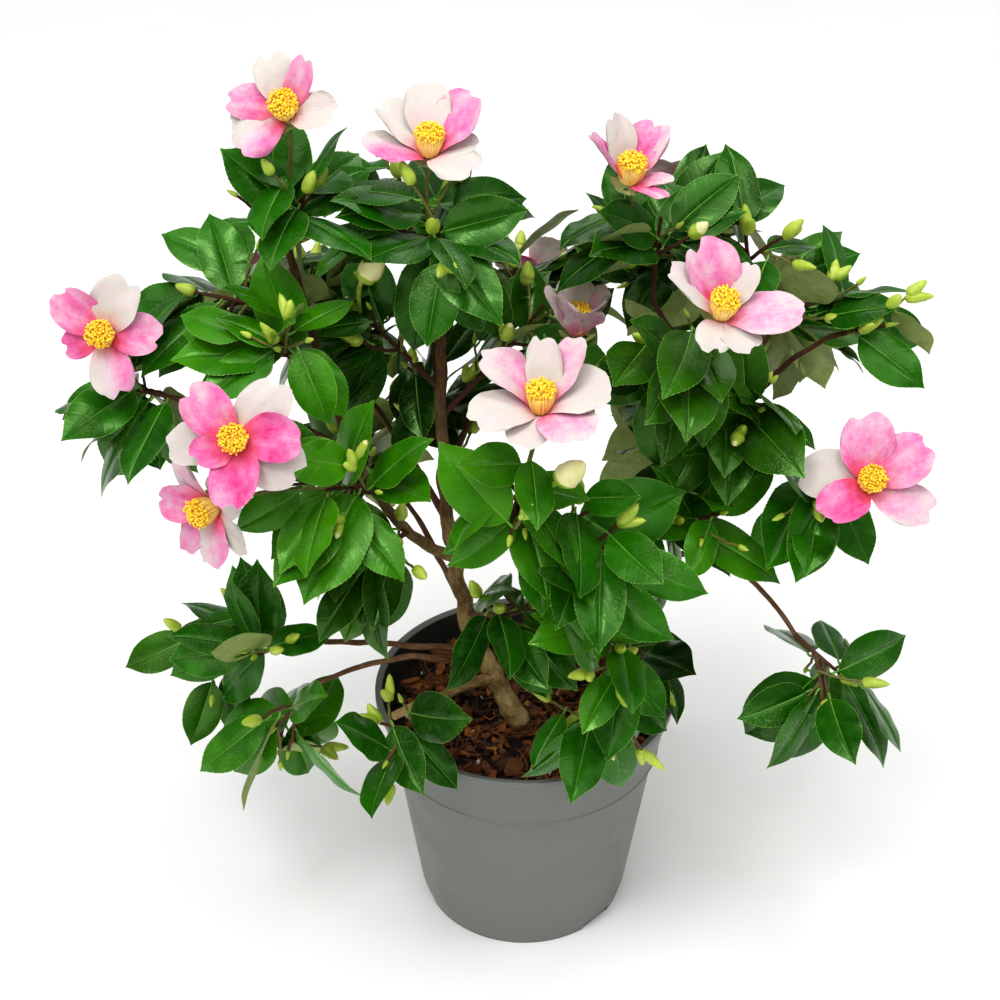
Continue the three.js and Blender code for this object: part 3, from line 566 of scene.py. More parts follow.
def make_piece(name, pile, materials, nodes=(), crease_deg=50):
    mesh = new_mesh(name, np.concatenate(pile.points), pile.faces)
    mesh.polygons.foreach_set("material_index", pile.slots)
    corners = np.empty(len(mesh.loops), int)
    mesh.loops.foreach_get("vertex_index", corners)
    mesh.uv_layers.new(name="UVMap").data.foreach_set("uv", np.concatenate(pile.uvs)[corners].ravel())
    values = np.concatenate(pile.values)
    if values.any():
        mesh.attributes.new("flush", "FLOAT", "POINT").data.foreach_set("value", values)
    mesh.shade_smooth()
    mesh.set_sharp_from_angle(angle=math.radians(crease_deg))
    made = new_object(name, mesh)
    for look in materials:
        mesh.materials.append(look)
    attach(made, BODY)
    if nodes:
        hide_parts(*nodes)
    return made


def grid_faces(rows, columns, closed=False):
    """Four-sided faces between rows of points; closed joins each row's end to its start."""
    faces = []
    for i in range(rows - 1):
        for j in range(columns if closed else columns - 1):
            k = (j + 1) % columns
            faces.append((i * columns + j, i * columns + k, (i + 1) * columns + k, (i + 1) * columns + j))
    return faces


def capped_faces(rows, sides):
    """The faces of closed rings and of a fan at each end. The fans' middles are the last two points."""
    foot, tip, last = rows * sides, rows * sides + 1, (rows - 1) * sides
    faces = grid_faces(rows, sides, closed=True)
    faces += [(foot, (j + 1) % sides, j) for j in range(sides)]
    return faces + [(tip, last + j, last + (j + 1) % sides) for j in range(sides)]


def turns_round(sides):
    return 2 * np.pi * np.arange(sides) / sides


def tube(line, radii, sides, relief=None):
    """A closed tube round a line of points: its points, faces and UVs. Relief moves each point outwards."""
    line = np.asarray(line, float)
    tangents = np.gradient(line, axis=0)
    across = square_to(unit(tangents[0]))[0]
    lengths = np.concatenate([[0], np.cumsum(np.linalg.norm(np.diff(line, axis=0), axis=1))])
    turns, rings = turns_round(sides), []
    for i, (centre, tangent) in enumerate(zip(line, tangents)):
        tangent = unit(tangent)
        across = unit(across - tangent * across.dot(tangent))
        over = np.cross(tangent, across)
        radius = np.full(sides, radii[i])
        if relief:
            radius = radius + np.array([relief(lengths[i], turn, radii[i]) for turn in turns])
        ring = centre + np.outer(radius * np.cos(turns), across)
        rings.append(ring + np.outer(radius * np.sin(turns), over))
    points = np.concatenate(rings + [line[:1], line[-1:]])
    around = np.tile(turns / (2 * np.pi), len(line))
    uvs = np.column_stack([around, np.repeat(lengths, sides) / UV_SIZE])
    uvs = np.concatenate([uvs, [[0, 0], [0, lengths[-1] / UV_SIZE]]])
    return points, capped_faces(len(line), sides), uvs


# Leaves.

LEAF_TOP, LEAF_RIB, LEAF_MARGIN, LEAF_UNDER = range(4)
# A blade's fine sizes. The margin, teeth and rib narrow to a share of the blade where it is narrow itself.
BLADE = {
    "rows": 24, "margin": 0.36, "least_inner": 0.75, "tooth": 0.36, "least_notch": 0.6, "rib": 0.36,
    "rib_taper": 1.15, "most_rib": 0.2, "thickness": 0.4, "ridge": 0.5, "round": 1.5, "rolled": 0.16,
    "curl_from": 0.72, "sunk": 0.3,
}
# What differs from leaf to leaf, between two values: its width, its fold along the midrib, its sag, the curl
# of its tip, the height, two phases and number of its edge's waves, its twist and its bow.
LEAF_VARIES = {
    "width": (0.86, 1.03), "fold": (0.05, 0.26), "sag": (0.6, 1.5), "curl": (0.1, 0.8), "wave": (0.02, 0.07),
    "phases": (0, 2 * np.pi, 2), "waves": (1.2, 2.6), "twist": (-0.3, 0.3), "bow": (-0.05, 0.05),
}
# How far leaves swing sideways, nod and roll, in degrees.
LEAF_TURNS = (8, 9, 22)
PETIOLE = {"stations": (0, 0.5, 1, 1.5), "radii": (1.0, 0.85, 0.8, 0.35), "dip": 0.9, "sides": 5}

# A blade's half width at shares of its length: broad and oval, then drawn out to a narrow tip.
BLADE_OUTLINE = (
    (0, 0.03, 0.08, 0.15, 0.25, 0.35, 0.45, 0.55, 0.65, 0.74, 0.81, 0.87, 0.92, 0.96, 1),
    (0, 0.23, 0.5, 0.74, 0.92, 0.99, 1, 0.98, 0.9, 0.77, 0.6, 0.41, 0.23, 0.1, 0),
)


class Blade:
    """The pattern of one leaf's points and faces: both sides, a sunk midrib and a toothed pale margin."""

    # The points of a cross-section, over the top from edge to edge and back underneath: what each is, or its
    # share of the half width, its side, and whether it is underneath.
    KINDS = ("outer", "inner", 0.66, 0.32, "rib", 0.0, "rib", 0.32, 0.66, "inner", "outer", 0.5, 0.0, 0.5)
    SIDES = (-1, -1, -1, -1, -1, 0, 1, 1, 1, 1, 1, 1, 0, -1)
    UNDER = (False,) * 11 + (True,) * 3
    LOOKS = ([LEAF_MARGIN] + [LEAF_TOP] * 3 + [LEAF_RIB] * 2 + [LEAF_TOP] * 3 + [LEAF_MARGIN]
             + [LEAF_UNDER] * 4)
    # The faces along the two edges take in the notch between two teeth: as which corner, and on which side.
    NOTCHED = {0: (4, 0), 9: (2, 1), 10: (4, 1), 13: (2, 0)}

    def __init__(self):
        self.share, self.kind, self.sign, self.under = [], [], [], []
        self.faces, self.slots = [], []
        rows, count = BLADE["rows"], len(self.KINDS)
        base, tip = self.point(0.0, 0.0, 0), self.point(1.0, 0.0, 0)
        rings, notches = [], []
        for i in range(1, rows):
            rings.append([self.point(i / rows, *spot) for spot in zip(self.KINDS, self.SIDES, self.UNDER)])
            notches.append([self.point((i + 0.25) / rows, "notch", side) for side in (-1, 1)])
        for j, look in enumerate(self.LOOKS):
            k = (j + 1) % count
            for ring, after, notch in zip(rings, rings[1:], notches):
                face = [ring[j], ring[k], after[k], after[j]]
                if j in self.NOTCHED:
                    corner, side = self.NOTCHED[j]
                    face.insert(corner, notch[side])
                self.add_face(face, look)
            self.add_face([base, rings[0][k], rings[0][j]], look)
            self.add_face([tip, rings[-1][j], rings[-1][k]], look)
        self.share, self.sign, self.under = (np.array(v, float) for v in (self.share, self.sign, self.under))
        middle = np.array([kind == 0.0 for kind in self.kind])
        self.midrib = middle * (self.under == 0) * (self.share > 0) * (self.share < 1)

    def point(self, share, kind, side, under=False):
        self.share.append(share)
        self.kind.append(kind)
        self.sign.append(side)
        self.under.append(under)
        return len(self.share) - 1

    def add_face(self, corners, look):
        self.faces.append(tuple(corners))
        self.slots.append(look)

    def across(self, half):
        """How far each point lies from the midrib, for a leaf of that half width."""
        edge = np.interp(self.share, *BLADE_OUTLINE) * half
        by_kind = {
            "outer": edge,
            "inner": np.maximum(edge - BLADE["margin"], BLADE["least_inner"] * edge),
            "notch": np.maximum(edge - BLADE["tooth"], BLADE["least_notch"] * edge),
            "rib": np.minimum(BLADE["rib"] * (BLADE["rib_taper"] - self.share), BLADE["most_rib"] * edge),
        }
        across = [by_kind[k][i] if k in by_kind else k * edge[i] for i, k in enumerate(self.kind)]
        return np.array(across) * self.sign


def turned_leaf(leaf, rng):
    """A leaf rolled about its midrib and swung on its stalk, a little each way."""
    swing, nod, roll = rng.normal(0, 1, 3) * [math.radians(deg) for deg in LEAF_TURNS]
    way = unit(leaf["direction"] + leaf["side"] * math.tan(swing) + leaf["upper"] * math.tan(nod))
    upper = unit(between(leaf["upper"], leaf["side"], roll))
    upper = unit(upper - way * upper.dot(way))
    return dict(leaf, direction=way, upper=upper, side=np.cross(way, upper))


def leaf_mesh(blade, leaf, rng):
    """A leaf's points in millimetres and UVs: folded along its midrib, sagging, twisted and wavy."""
    varied = (rng.uniform(*values) for values in LEAF_VARIES.values())
    width, fold, sag, curl, wave, phases, waves, twist, bow = varied
    length = leaf["length"]
    half = length * LEAF["width_share"] / 2 * width
    s, x = blade.share, blade.across(half)
    wide = np.abs(x) / half
    z = fold * (np.hypot(x, BLADE["round"]) - BLADE["round"]) - BLADE["rolled"] * half * wide**3
    z = z + wave * half * wide**2 * np.sin(2 * np.pi * waves * s + np.where(x < 0, *phases))
    z = z - (LEAF["sag"] * sag * s**2 + curl * np.maximum(0, s - BLADE["curl_from"]) ** 2) * length
    z = z - BLADE["sunk"] * blade.midrib
    z = z - blade.under * (BLADE["thickness"] + BLADE["ridge"] * (blade.sign == 0) * (1 - s))
    x_turned, z_turned = swung(x, z, twist * s)
    along = LEAF["petiole"] + s * length
    aside = x_turned + bow * length * s**2
    points = leaf["start"] + np.outer(along, leaf["direction"])
    points = points + np.outer(aside, leaf["side"]) + np.outer(z_turned, leaf["upper"])
    return points, np.column_stack([0.5 + x / UV_SIZE, s * length / UV_SIZE])


def petiole_mesh(leaf):
    foot, way, upper = leaf["start"], leaf["direction"], leaf["upper"]
    last = PETIOLE["stations"][-1]
    line = [foot + way * LEAF["petiole"] * t - upper * (PETIOLE["dip"] * math.sin(math.pi * t / last))
            for t in PETIOLE["stations"]]
    return tube(line, PETIOLE["radii"], PETIOLE["sides"])


def make_leaves(sprays, looks):
    """Leaves are joined by tint, so all leaves of a spray go into one piece."""
    blade = Blade()
    rng = np.random.default_rng(LOOKS_SEED)
    piles = {tint: Pile() for tint in LEAF_TINTS}
    for grown in sprays:
        pile, left_out = piles[grown["tint"]], grown["left_out"]
        for count, leaf in enumerate(grown["leaves"]):
            leaf = turned_leaf(leaf, rng)
            points, uvs = leaf_mesh(blade, leaf, rng)
            if int((count + 1) * left_out) > int(count * left_out):
                continue
            pile.add(points, blade.faces, blade.slots, uvs)
            points, faces, uvs = petiole_mesh(leaf)
            pile.add(points, faces, LEAF_RIB, uvs)
    for number, (tint, pile) in enumerate(piles.items()):
        nodes = ["leaves_" + grown["name"] for grown in sprays if grown["tint"] == tint]
        materials = [looks["leaf_tops"][number], looks["rib"], looks["margin"], looks["under"]]
        make_piece(f"foliage_{number + 1}", pile, materials, nodes, crease_deg=75)


# Twigs and buds.

# A shoot's bend as a share of its length, its kinks in millimetres, and its steps.
SHOOT_LINE = {"bend": 0.06, "kink": 0.35, "steps": 6}
# A spray's twig: how many points follow its foot, the share of its curve where they start, the radius at its
# foot and along it, how much it swells and narrows, and its sides.
MAIN_TWIG = {"points": 15, "from": 0.06, "foot_radius": 2.0, "radii": (1.9, 1.05), "knots": 0.08, "sides": 8}
# Each kind of side shoot: its radius at foot and tip, and whether it is brown or still green.
SHOOT_LOOKS = {"plain": (1.35, 1.05, 0), "fine": (1.05, 0.85, 1), "bloom": (1.2, 1.4, 1)}


def twig_line(start, end, rng):
    """A nearly straight line of points that bends once and has small kinks at its leaf scars."""
    way, steps = end - start, SHOOT_LINE["steps"]
    length = np.linalg.norm(way)
    side = between(*square_to(way / length), rng.uniform(0, 2 * np.pi))
    line = []
    for i in range(steps + 1):
        t = i / steps
        kink = 0 if i in (0, steps) else SHOOT_LINE["kink"] * (-1) ** i
        line.append(start + way * t + side * (SHOOT_LINE["bend"] * length * math.sin(math.pi * t) + kink))
    return line


def make_twigs(sprays, looks):
    rng = np.random.default_rng(LOOKS_SEED + 1)
    twigs, count = Pile(), MAIN_TWIG["points"]
    knots = 1 + MAIN_TWIG["knots"] * np.sin(np.arange(count) * 2.4)
    radii = [MAIN_TWIG["foot_radius"]] + list(np.linspace(*MAIN_TWIG["radii"], count) * knots)
    for grown in sprays:
        line = [grown["limb"].point(grown["at"])]
        line += [grown["curve"].point(t) for t in np.linspace(MAIN_TWIG["from"], 1, count)]
        twigs.add(*tube(line, radii, MAIN_TWIG["sides"])[:2])
        for shoot in grown["shoots"]:
            if shoot["kind"] == "main":
                continue
            line = twig_line(shoot["start"], shoot["end"], rng)
            foot_radius, tip_radius, look = SHOOT_LOOKS[shoot["kind"]]
            twigs.add(*tube(line, np.linspace(foot_radius, tip_radius, len(line)), 6)[:2], look)
    make_piece("twigs", twigs, [looks["twig"], looks["young_twig"]], crease_deg=60)


# A bud's points, its scales, how high the lowest reaches and how much higher each next one, and how stout
# its core is and each scale makes it.
BUD_FORM = {"rows": 11, "sides": 14, "scales": 4, "lowest": 0.34, "step": 0.15, "core": 0.78, "scale": 0.09}


def bud_mesh(foot, axis, length, radius, rng):
    """A plump bud in overlapping scales: its points, its faces and the faces' shares of its height."""
    across, over = square_to(axis)
    rows, sides, points = BUD_FORM["rows"], BUD_FORM["sides"], []
    first = rng.uniform(0, 2 * np.pi)
    scales = [(first + k * 2.4, BUD_FORM["lowest"] + BUD_FORM["step"] * k) for k in range(BUD_FORM["scales"])]
    for i in range(rows):
        share = i / (rows - 1)
        plump = 0.16 + 0.84 * 2.2 * share**0.45 * (1 - share) ** 0.75
        plump = radius * (plump if 0 < i < rows - 1 else plump * 0.45)
        for turn in turns_round(sides):
            cover = 0
            for place, high in scales:
                apart = abs((turn - place + np.pi) % (2 * np.pi) - np.pi)
                cover += share < high * (1.25 - (apart / 1.5) ** 2)
            ring = plump * (BUD_FORM["core"] + BUD_FORM["scale"] * cover)
            points.append(foot + axis * share * length + between(across, over, turn) * ring)
    shares = np.repeat((np.arange(rows - 1) + 0.5) / (rows - 1), sides).tolist()
    points += [foot, foot + axis * length * 1.03]
    return points, capped_faces(rows, sides), shares + [0] * sides + [1] * sides


# Buds: length, radius, and from which share of its height a bud is cream.
BUD_SIZES = {
    "flower": ((15, 20), (4.2, 5.4), (0.6, 1.6)),
    "small": ((12, 19), (3.4, 4.8), (0.8, 2.4)),
    "leaf": ((7, 10), (1.4, 2.1), (2, 2)),
}
# The share of each kind of shoot that ends in a flower bud, and of those buds that have another beside them.
BUD_SHARES = {"main": 0.55, "plain": 0.55, "fine": 0.7, "pair": 0.5}
# Two buds that are about to open: their sprays, feet, directions, lengths and radii.
BIG_BUDS = [
    ("centre", (17, -138, 431), (0.5, -0.45, 0.74), 25, 8.4),
    ("mid_upper", (-99, -26, 503), (0.55, -0.2, 0.8), 25, 8.2),
]
BIG_BUD_CREAM = 0.26


def make_buds(sprays, looks):
    """Flower buds where the solids have them and on some other shoots, and leaf buds on the other tips."""
    rng = np.random.default_rng(LOOKS_SEED + 2)
    buds = Pile()

    def add(foot, axis, length, radius, cream_from):
        points, faces, shares = bud_mesh(foot - axis * 0.8, axis, length, radius, rng)
        buds.add(points, faces, [int(share > cream_from) for share in shares])

    def add_kind(foot, axis, kind):
        add(foot, axis, *[rng.uniform(*sizes) for sizes in BUD_SIZES[kind]])

    blooming = {bloom[0] for bloom in BLOOMS}
    for grown in sprays:
        for shoot in grown["shoots"]:
            kind = shoot["kind"]
            if kind == "bloom" or (kind == "main" and grown["name"] in blooming):
                continue
            axis = unit(shoot["end"] - shoot["start"])
            if shoot["bud"] or rng.random() < BUD_SHARES[kind]:
                add_kind(shoot["end"], unit(axis + UP * 0.15), "flower" if shoot["bud"] else "small")
                if rng.random() < BUD_SHARES["pair"]:
                    beside = opened(axis, math.radians(48), rng.uniform(0, 2 * np.pi))
                    add_kind(shoot["end"] - axis * 2, unit(beside + UP * 0.3), "small")
            else:
                add_kind(shoot["end"], axis, "leaf")
    for spray, foot, axis, length, radius in BIG_BUDS:
        foot, axis = np.array(foot, float), unit(np.array(axis))
        add(foot, axis, length, radius, BIG_BUD_CREAM)
        curve = next(g for g in sprays if g["name"] == spray)["curve"]
        spots = [curve.point(t) for t in np.linspace(0.3, 1, 20)]
        stalk = Curve(min(spots, key=lambda p: np.linalg.norm(p - foot)), foot - axis * 8, foot)
        buds.add(*tube([stalk.point(t) for t in np.linspace(0, 1, 7)], [1.5] * 7, 7)[:2])
    make_piece("buds", buds, [looks["bud"], looks["bud_tip"]], crease_deg=80)


# Blooms.

# How pink each kind of petal is at its heart, and at its rim. A mixed one changes from side to side.
FLUSH = {"W": (0.42, 0.04), "L": (0.54, 0.2), "M": (0.74, 0.06), "P": (0.76, 0.44), "H": (0.96, 0.62)}
PETAL_CODE = re.compile(r"(\d+)([A-Z])(n?)([+-]\d+)?(?:\*([\d.]+))?$")
PETAL = {
    "rows": 19, "columns": 17, "foot_radius": 3.0, "foot_deg": 68, "bend": 0.16, "width": (0.64, 0.8),
    "claw": 0.3, "side_share": 0.62, "thickness": 0.35, "notch": (0.02, 0.15), "notch_width": 0.2,
    "rim": 0.018, "recurve_deg": (6, 40), "cup": (0.1, 0.3), "low_cup": (0.0, 0.1), "ruffle": 0.045,
    "crinkle": 0.5, "lean": 0.14, "curl": (0.0, 0.5), "level": 1.6, "narrow": 0.7,
}


def petal_line(lift_deg, recurve_deg):
    """A petal's middle line, one long: shares of the way, and the angle, the reach and the height there."""
    steps = np.linspace(0, 1, 60)
    angles = lift_deg + (PETAL["foot_deg"] - lift_deg) * np.exp(-((steps / PETAL["bend"]) ** 1.3))
    angles = np.radians(angles - recurve_deg * steps**2.2)
    reach, height = (np.concatenate([[0], np.cumsum(f(angles[:-1]))]) / 59 for f in (np.cos, np.sin))
    return steps, angles, reach, height


def petal_mesh(length, wide, rng, kind, lift_deg, low, seed):
    """A petal in its own frame: outwards, sideways and up. It rises round the stamens, then opens."""
    rows, columns = PETAL["rows"], PETAL["columns"]
    s = np.repeat(np.linspace(0, 1, rows), columns)
    c = np.tile(np.sin(np.linspace(-np.pi / 2, np.pi / 2, columns)), rows)
    side, phase = PETAL["side_share"], rng.uniform(0, 2 * np.pi, 4)
    notch = rng.uniform(*PETAL["notch"])
    notch = notch * np.exp(-(((c - rng.uniform(-0.35, 0.35)) / PETAL["notch_width"]) ** 2))
    rim = PETAL["rim"] * (np.sin(6 * c + phase[2]) + 0.7 * np.sin(13 * c + phase[3])) * (1 - c**2)
    along = s * (side + (1 - side) * np.sqrt(np.maximum(0, 1 - c**2)) - notch + rim)
    half = wide * length * rng.uniform(*PETAL["width"]) / 2
    swell = np.sin(np.pi / 2 * np.clip(s / 0.88, 0, 1)) ** 1.35
    half = half * (PETAL["claw"] + (1 - PETAL["claw"]) * swell)
    steps, angles, reach, height = petal_line(lift_deg, rng.uniform(*PETAL["recurve_deg"]))
    angle = np.interp(along, steps, angles)
    lift = rng.uniform(*PETAL["low_cup" if low else "cup"]) * half * c**2 * (1 - 0.6 * s)
    curl = rng.uniform(*PETAL["curl"]) * (-0.5 if low else 1)
    lift += curl * half * np.maximum(0, c * np.sign(phase[1] - np.pi)) ** 3 * s**2
    ruffle = PETAL["ruffle"] * length
    lift += ruffle * s**2 * np.abs(c) ** 1.4 * np.sin(2.2 * np.pi * s + phase[0] + 1.7 * c)
    lift += 0.4 * ruffle * s**3 * np.sin(4.6 * c + phase[1])
    for i in range(len(s)):
        spot = Vector((along[i] * 3.2, c[i] * 2.6, seed * 7.7))
        lift[i] += PETAL["crinkle"] * (0.2 + s[i]) * (noise.noise(spot) * 1.7 + noise.noise(spot * 2.7))
    lift[c == 0] -= 0.25
    x = PETAL["foot_radius"] + length * np.interp(along, steps, reach) - lift * np.sin(angle)
    y = c * half + rng.uniform(-1, 1) * PETAL["lean"] * length * along**2
    z = length * np.interp(along, steps, height) + lift * np.cos(angle)
    normals = np.column_stack([-np.sin(angle), 0 * s, np.cos(angle)])
    faces, points, used = shell(np.column_stack([x, y, z]), normals, rows, columns)
    uvs = np.column_stack([0.5 + c / 4, along * length / UV_SIZE])
    values = np.array([petal_flush(kind, a, b, seed, phase[0] > np.pi) for a, b in zip(along, c)])
    return points, faces, np.concatenate([uvs, uvs])[used], np.concatenate([values, values])[used]


def petal_flush(kind, along, across, seed, turned):
    heart, rim = FLUSH[kind]
    share = along**0.8 if kind == "W" else along**1.2
    if kind == "M":
        share = min(1, max(0, 0.5 + (across if turned else -across) * 0.8)) * 0.75 + 0.25 * along
    if kind == "W":
        share = min(1, share * 1.9)
    patch = noise.noise(Vector((along * 2.3, across * 1.6, seed * 3.1 + 5))) * 0.3
    patch += noise.noise(Vector((along * 3.0, across * 4.2, seed * 2.3 + 9))) * 0.14
    edge = 0.12 * abs(across) ** 3 * along
    return max(0.001, heart + (rim - heart) * share + patch * (0.3 + 0.7 * min(1, rim * 2)) - edge)


def shell(top, normals, rows, columns):
    """The faces of a sheet's two sides, closed along its rim, and the points they use."""
    count = rows * columns
    row, column = np.divmod(np.arange(count), columns)
    rim = (row == 0) | (row == rows - 1) | (column == 0) | (column == columns - 1)
    under = top - normals * PETAL["thickness"] * (~rim)[:, None]
    lower = np.where(rim, np.arange(count), np.arange(count) + count)
    sheet = grid_faces(rows, columns)
    faces = [face[::-1] for face in sheet] + [tuple(int(lower[i]) for i in face) for face in sheet]
    used = np.unique(np.concatenate([np.arange(count), lower]))
    new = {int(old): k for k, old in enumerate(used)}
    return [tuple(new[i] for i in face) for face in faces], np.concatenate([top, under])[used], used


STAMENS = {
    "count": 150, "core": ((4.8, 0.5), (6.5, 5.0), (7.6, 9.5), (7.3, 12.4), (3.0, 15.2)), "sides": 20,
    "rib": 0.05, "tip_radius": 8.4, "foot_radius": 4.8, "height": (12.4, 16.4), "dome": 2.8,
    "stations": (0.1, 0.45, 0.75, 1.0), "radii": (0.55, 0.5, 0.42, 0.36),
}
ANTHER = {
    "rings": ((-0.7, 0.55), (0.1, 0.95), (0.8, 0.6)), "sides": 6, "wide": 1.2, "narrow": 0.8, "tip": 1.15,
}
HEART_CORE, HEART_FILAMENT, HEART_ANTHER, HEART_SCALE = range(4)


def stamen_mesh(place, rng, pile):
    """A barrel of joined filaments, with a dense brush of free ones and their anthers."""
    sides, core = STAMENS["sides"], STAMENS["core"]
    ribs = 1 + STAMENS["rib"] * (np.arange(sides) % 2)
    points = [place(*swung(r * rib, 0, t), h) for r, h in core for rib, t in zip(ribs, turns_round(sides))]
    faces = grid_faces(len(core), sides, closed=True)
    faces.append(tuple(range(sides))[::-1])
    faces.append(tuple(range((len(core) - 1) * sides, len(core) * sides)))
    pile.add(points, faces, HEART_CORE)
    for k in range(STAMENS["count"]):
        turn = k * math.radians(137.5)
        share = math.sqrt((k + 0.5) / STAMENS["count"])
        foot, tip = STAMENS["foot_radius"] * share, STAMENS["tip_radius"] * share + rng.uniform(-0.5, 0.7)
        height = rng.uniform(*STAMENS["height"]) + STAMENS["dome"] * (1 - share**2)
        sway = rng.uniform(-0.12, 0.12)
        line = []
        for t in STAMENS["stations"]:
            radius = foot + (tip - foot) * t**1.3 + 1.3 * math.sin(math.pi * t) * share
            line.append(place(*swung(radius, 0, turn + sway * t), height * t))
        pile.add(*tube(line, STAMENS["radii"], 4)[:2], HEART_FILAMENT)
        anther_mesh(line[-1], unit(line[-1] - line[-2]), rng, pile)


def anther_mesh(centre, axis, rng, pile):
    across = square_to(axis)[0]
    wide = between(across, np.cross(axis, across), rng.uniform(0, np.pi))
    narrow = np.cross(axis, wide)
    size = rng.uniform(0.85, 1.1)
    points = []
    for height, radius in ANTHER["rings"]:
        for turn in turns_round(ANTHER["sides"]):
            side = between(wide * ANTHER["wide"], narrow * ANTHER["narrow"], turn)
            points.append(centre + (axis * height + side * radius) * size)
    points += [centre - axis * size, centre + axis * ANTHER["tip"] * size]
    pile.add(points, capped_faces(len(ANTHER["rings"]), ANTHER["sides"]), HEART_ANTHER)


CALYX = {"scales": 6, "size": (9, 12), "rows": 7, "columns": 7, "foot_radius": 1.4, "depth": 6.5, "rise": 5.6}


def calyx_mesh(place, rng, pile):
    """Cupped scales behind the petals."""
    rows, columns = CALYX["rows"], CALYX["columns"]
    s = np.repeat(np.linspace(0, 1, rows), columns)
    c = np.tile(np.linspace(-1, 1, columns), rows)
    for k in range(CALYX["scales"]):
        turn = 2 * np.pi * (k + rng.uniform(-0.15, 0.15)) / CALYX["scales"]
        size = rng.uniform(*CALYX["size"])
        radius = CALYX["foot_radius"] + size * (0.9 * s - 0.12 * s * c * c)
        height = -CALYX["depth"] + CALYX["rise"] * s**1.6 + 1.2 * c * c * (1 - s)
        wide = c * size * 0.5 * np.sin(np.pi * (0.22 + 0.6 * s)) * (1 - 0.5 * s**3)
        top = np.array([place(*spot) for spot in zip(*swung(radius, wide, turn), height)])
        up = place(0, 0, 1) - place(0, 0, 0)
        faces, points, _ = shell(top, np.tile(up * 1.6, (len(s), 1)), rows, columns)
        pile.add(points, faces, HEART_SCALE)


def make_blooms(looks):
    rng = np.random.default_rng(LOOKS_SEED + 3)
    hearts = Pile()
    for number, (_, heart, _, petal, (lift, _), petals) in enumerate(BLOOMS):
        heart, (axis, across, over) = np.array(heart, float), bloom_frame(number)

        def place(x, y, z, heart=heart, across=across, over=over, axis=axis):
            return heart + across * x + over * y + axis * z

        pile = Pile()
        for k, code in enumerate(petals.split()):
            place_deg, kind, narrow, more, size = PETAL_CODE.match(code).groups()
            wide = PETAL["narrow"] if narrow else 1
            length = petal * float(size or 1) * rng.uniform(0.97, 1.05)
            rise = lift + int(more or 0) + rng.uniform(-2, 2)
            made = petal_mesh(length, wide, rng, kind, rise, rise < lift, number * 9 + k)
            points, faces, uvs, values = made
            x, y = swung(points[:, 0], points[:, 1], math.radians(int(place_deg)))
            z = points[:, 2] - 1.5 + PETAL["level"] * math.tanh((rise - lift) / 6)
            points = heart + np.outer(x, across) + np.outer(y, over) + np.outer(z, axis)
            pile.add(points, faces, 0, uvs, values)
        make_piece(f"petals_{number + 1}", pile, [looks["petal"]], crease_deg=80)
        stamen_mesh(place, rng, hearts)
        calyx_mesh(place, rng, hearts)
    heart_looks = [looks[part] for part in ("stamen", "filament", "anther", "calyx")]
    make_piece("bloom_hearts", hearts, heart_looks, crease_deg=60)


# Limbs with the relief of bark.

# The relief's depth and how far a limb wanders from its smooth line, as shares of its radius; the length of
# the collar at its foot; how deep a stem goes into the mulch; and how stout boughs are beside their solids.
LIMB = {"relief": 0.14, "wander": 0.7, "collar": 7, "buried": 8, "bough_share": 0.86}
STEM_MESH = {"sides": 28, "spacing": 1.8}
BOUGH_MESH = {"sides": 14, "spacing": 2.4, "swell": 0.35}
FORK_SWELL = 0.3
BOUGH_SEED = 5


def bark_relief(seed):
    offset = Vector((seed * 13.7, seed * 5.1, seed * 7.3))

    def relief(length, turn, radius):
        ring = Vector((math.cos(turn) * radius, math.sin(turn) * radius, length * 0.22))
        ridges = noise.noise(ring * 0.62 + offset) + 0.6 * noise.noise(ring * 1.5 + offset)
        lumps = noise.noise(Vector((math.cos(turn) * 0.5, math.sin(turn) * 0.5, length * 0.06)) + offset)
        return radius * LIMB["relief"] * (0.6 * ridges + 1.1 * lumps)

    return relief


def limb_mesh(limb, seed, sides, spacing, swell=0, stout=1.0):
    """A limb's tube, from inside what carries it. Swell thickens its foot into a collar."""
    curve = limb["curve"]
    steps = max(6, int(curve.length() / spacing))
    shares = np.linspace(0, 1, steps + 1)
    line = [curve.point(t) for t in shares]
    collars = 1 + swell * np.exp(-shares * steps * spacing / LIMB["collar"])
    radii = [limb["radius_at"](t) * stout * collar for t, collar in zip(shares, collars)]
    for i in range(1, steps):
        spot = Vector((seed * 9.1, i * spacing * 0.07, 0))
        wander = LIMB["wander"] * radii[i] * math.sin(math.pi * i / steps)
        line[i] = line[i] + np.array(noise.noise_vector(spot)) * wander
    if swell == 0:
        line.insert(0, line[0] - UP * LIMB["buried"])
        radii.insert(0, radii[0] * 1.1)
    return tube(line, radii, sides, bark_relief(seed))


def make_limbs(limbs, looks):
    for seed, name in enumerate(STEMS):
        pile = Pile()
        swell = FORK_SWELL if name == "stem_left" else 0
        points, faces, uvs = limb_mesh(limbs[name], seed, **STEM_MESH, swell=swell)
        pile.add(points, faces, 0, uvs)
        make_piece(name + "_bark", pile, [looks["bark"]], [name], crease_deg=180)
    pile = Pile()
    for seed, name in enumerate(BOUGHS, BOUGH_SEED):
        stub = name == "cut_branch"
        stout = 1.0 if stub else LIMB["bough_share"]
        points, faces, uvs = limb_mesh(limbs[name], seed, **BOUGH_MESH, stout=stout)
        pile.add(points, faces, int(stub), uvs)
    make_piece("boughs_bark", pile, [looks["bough"], looks["bark"]], list(BOUGHS), crease_deg=70)


# The pot and its mulch.

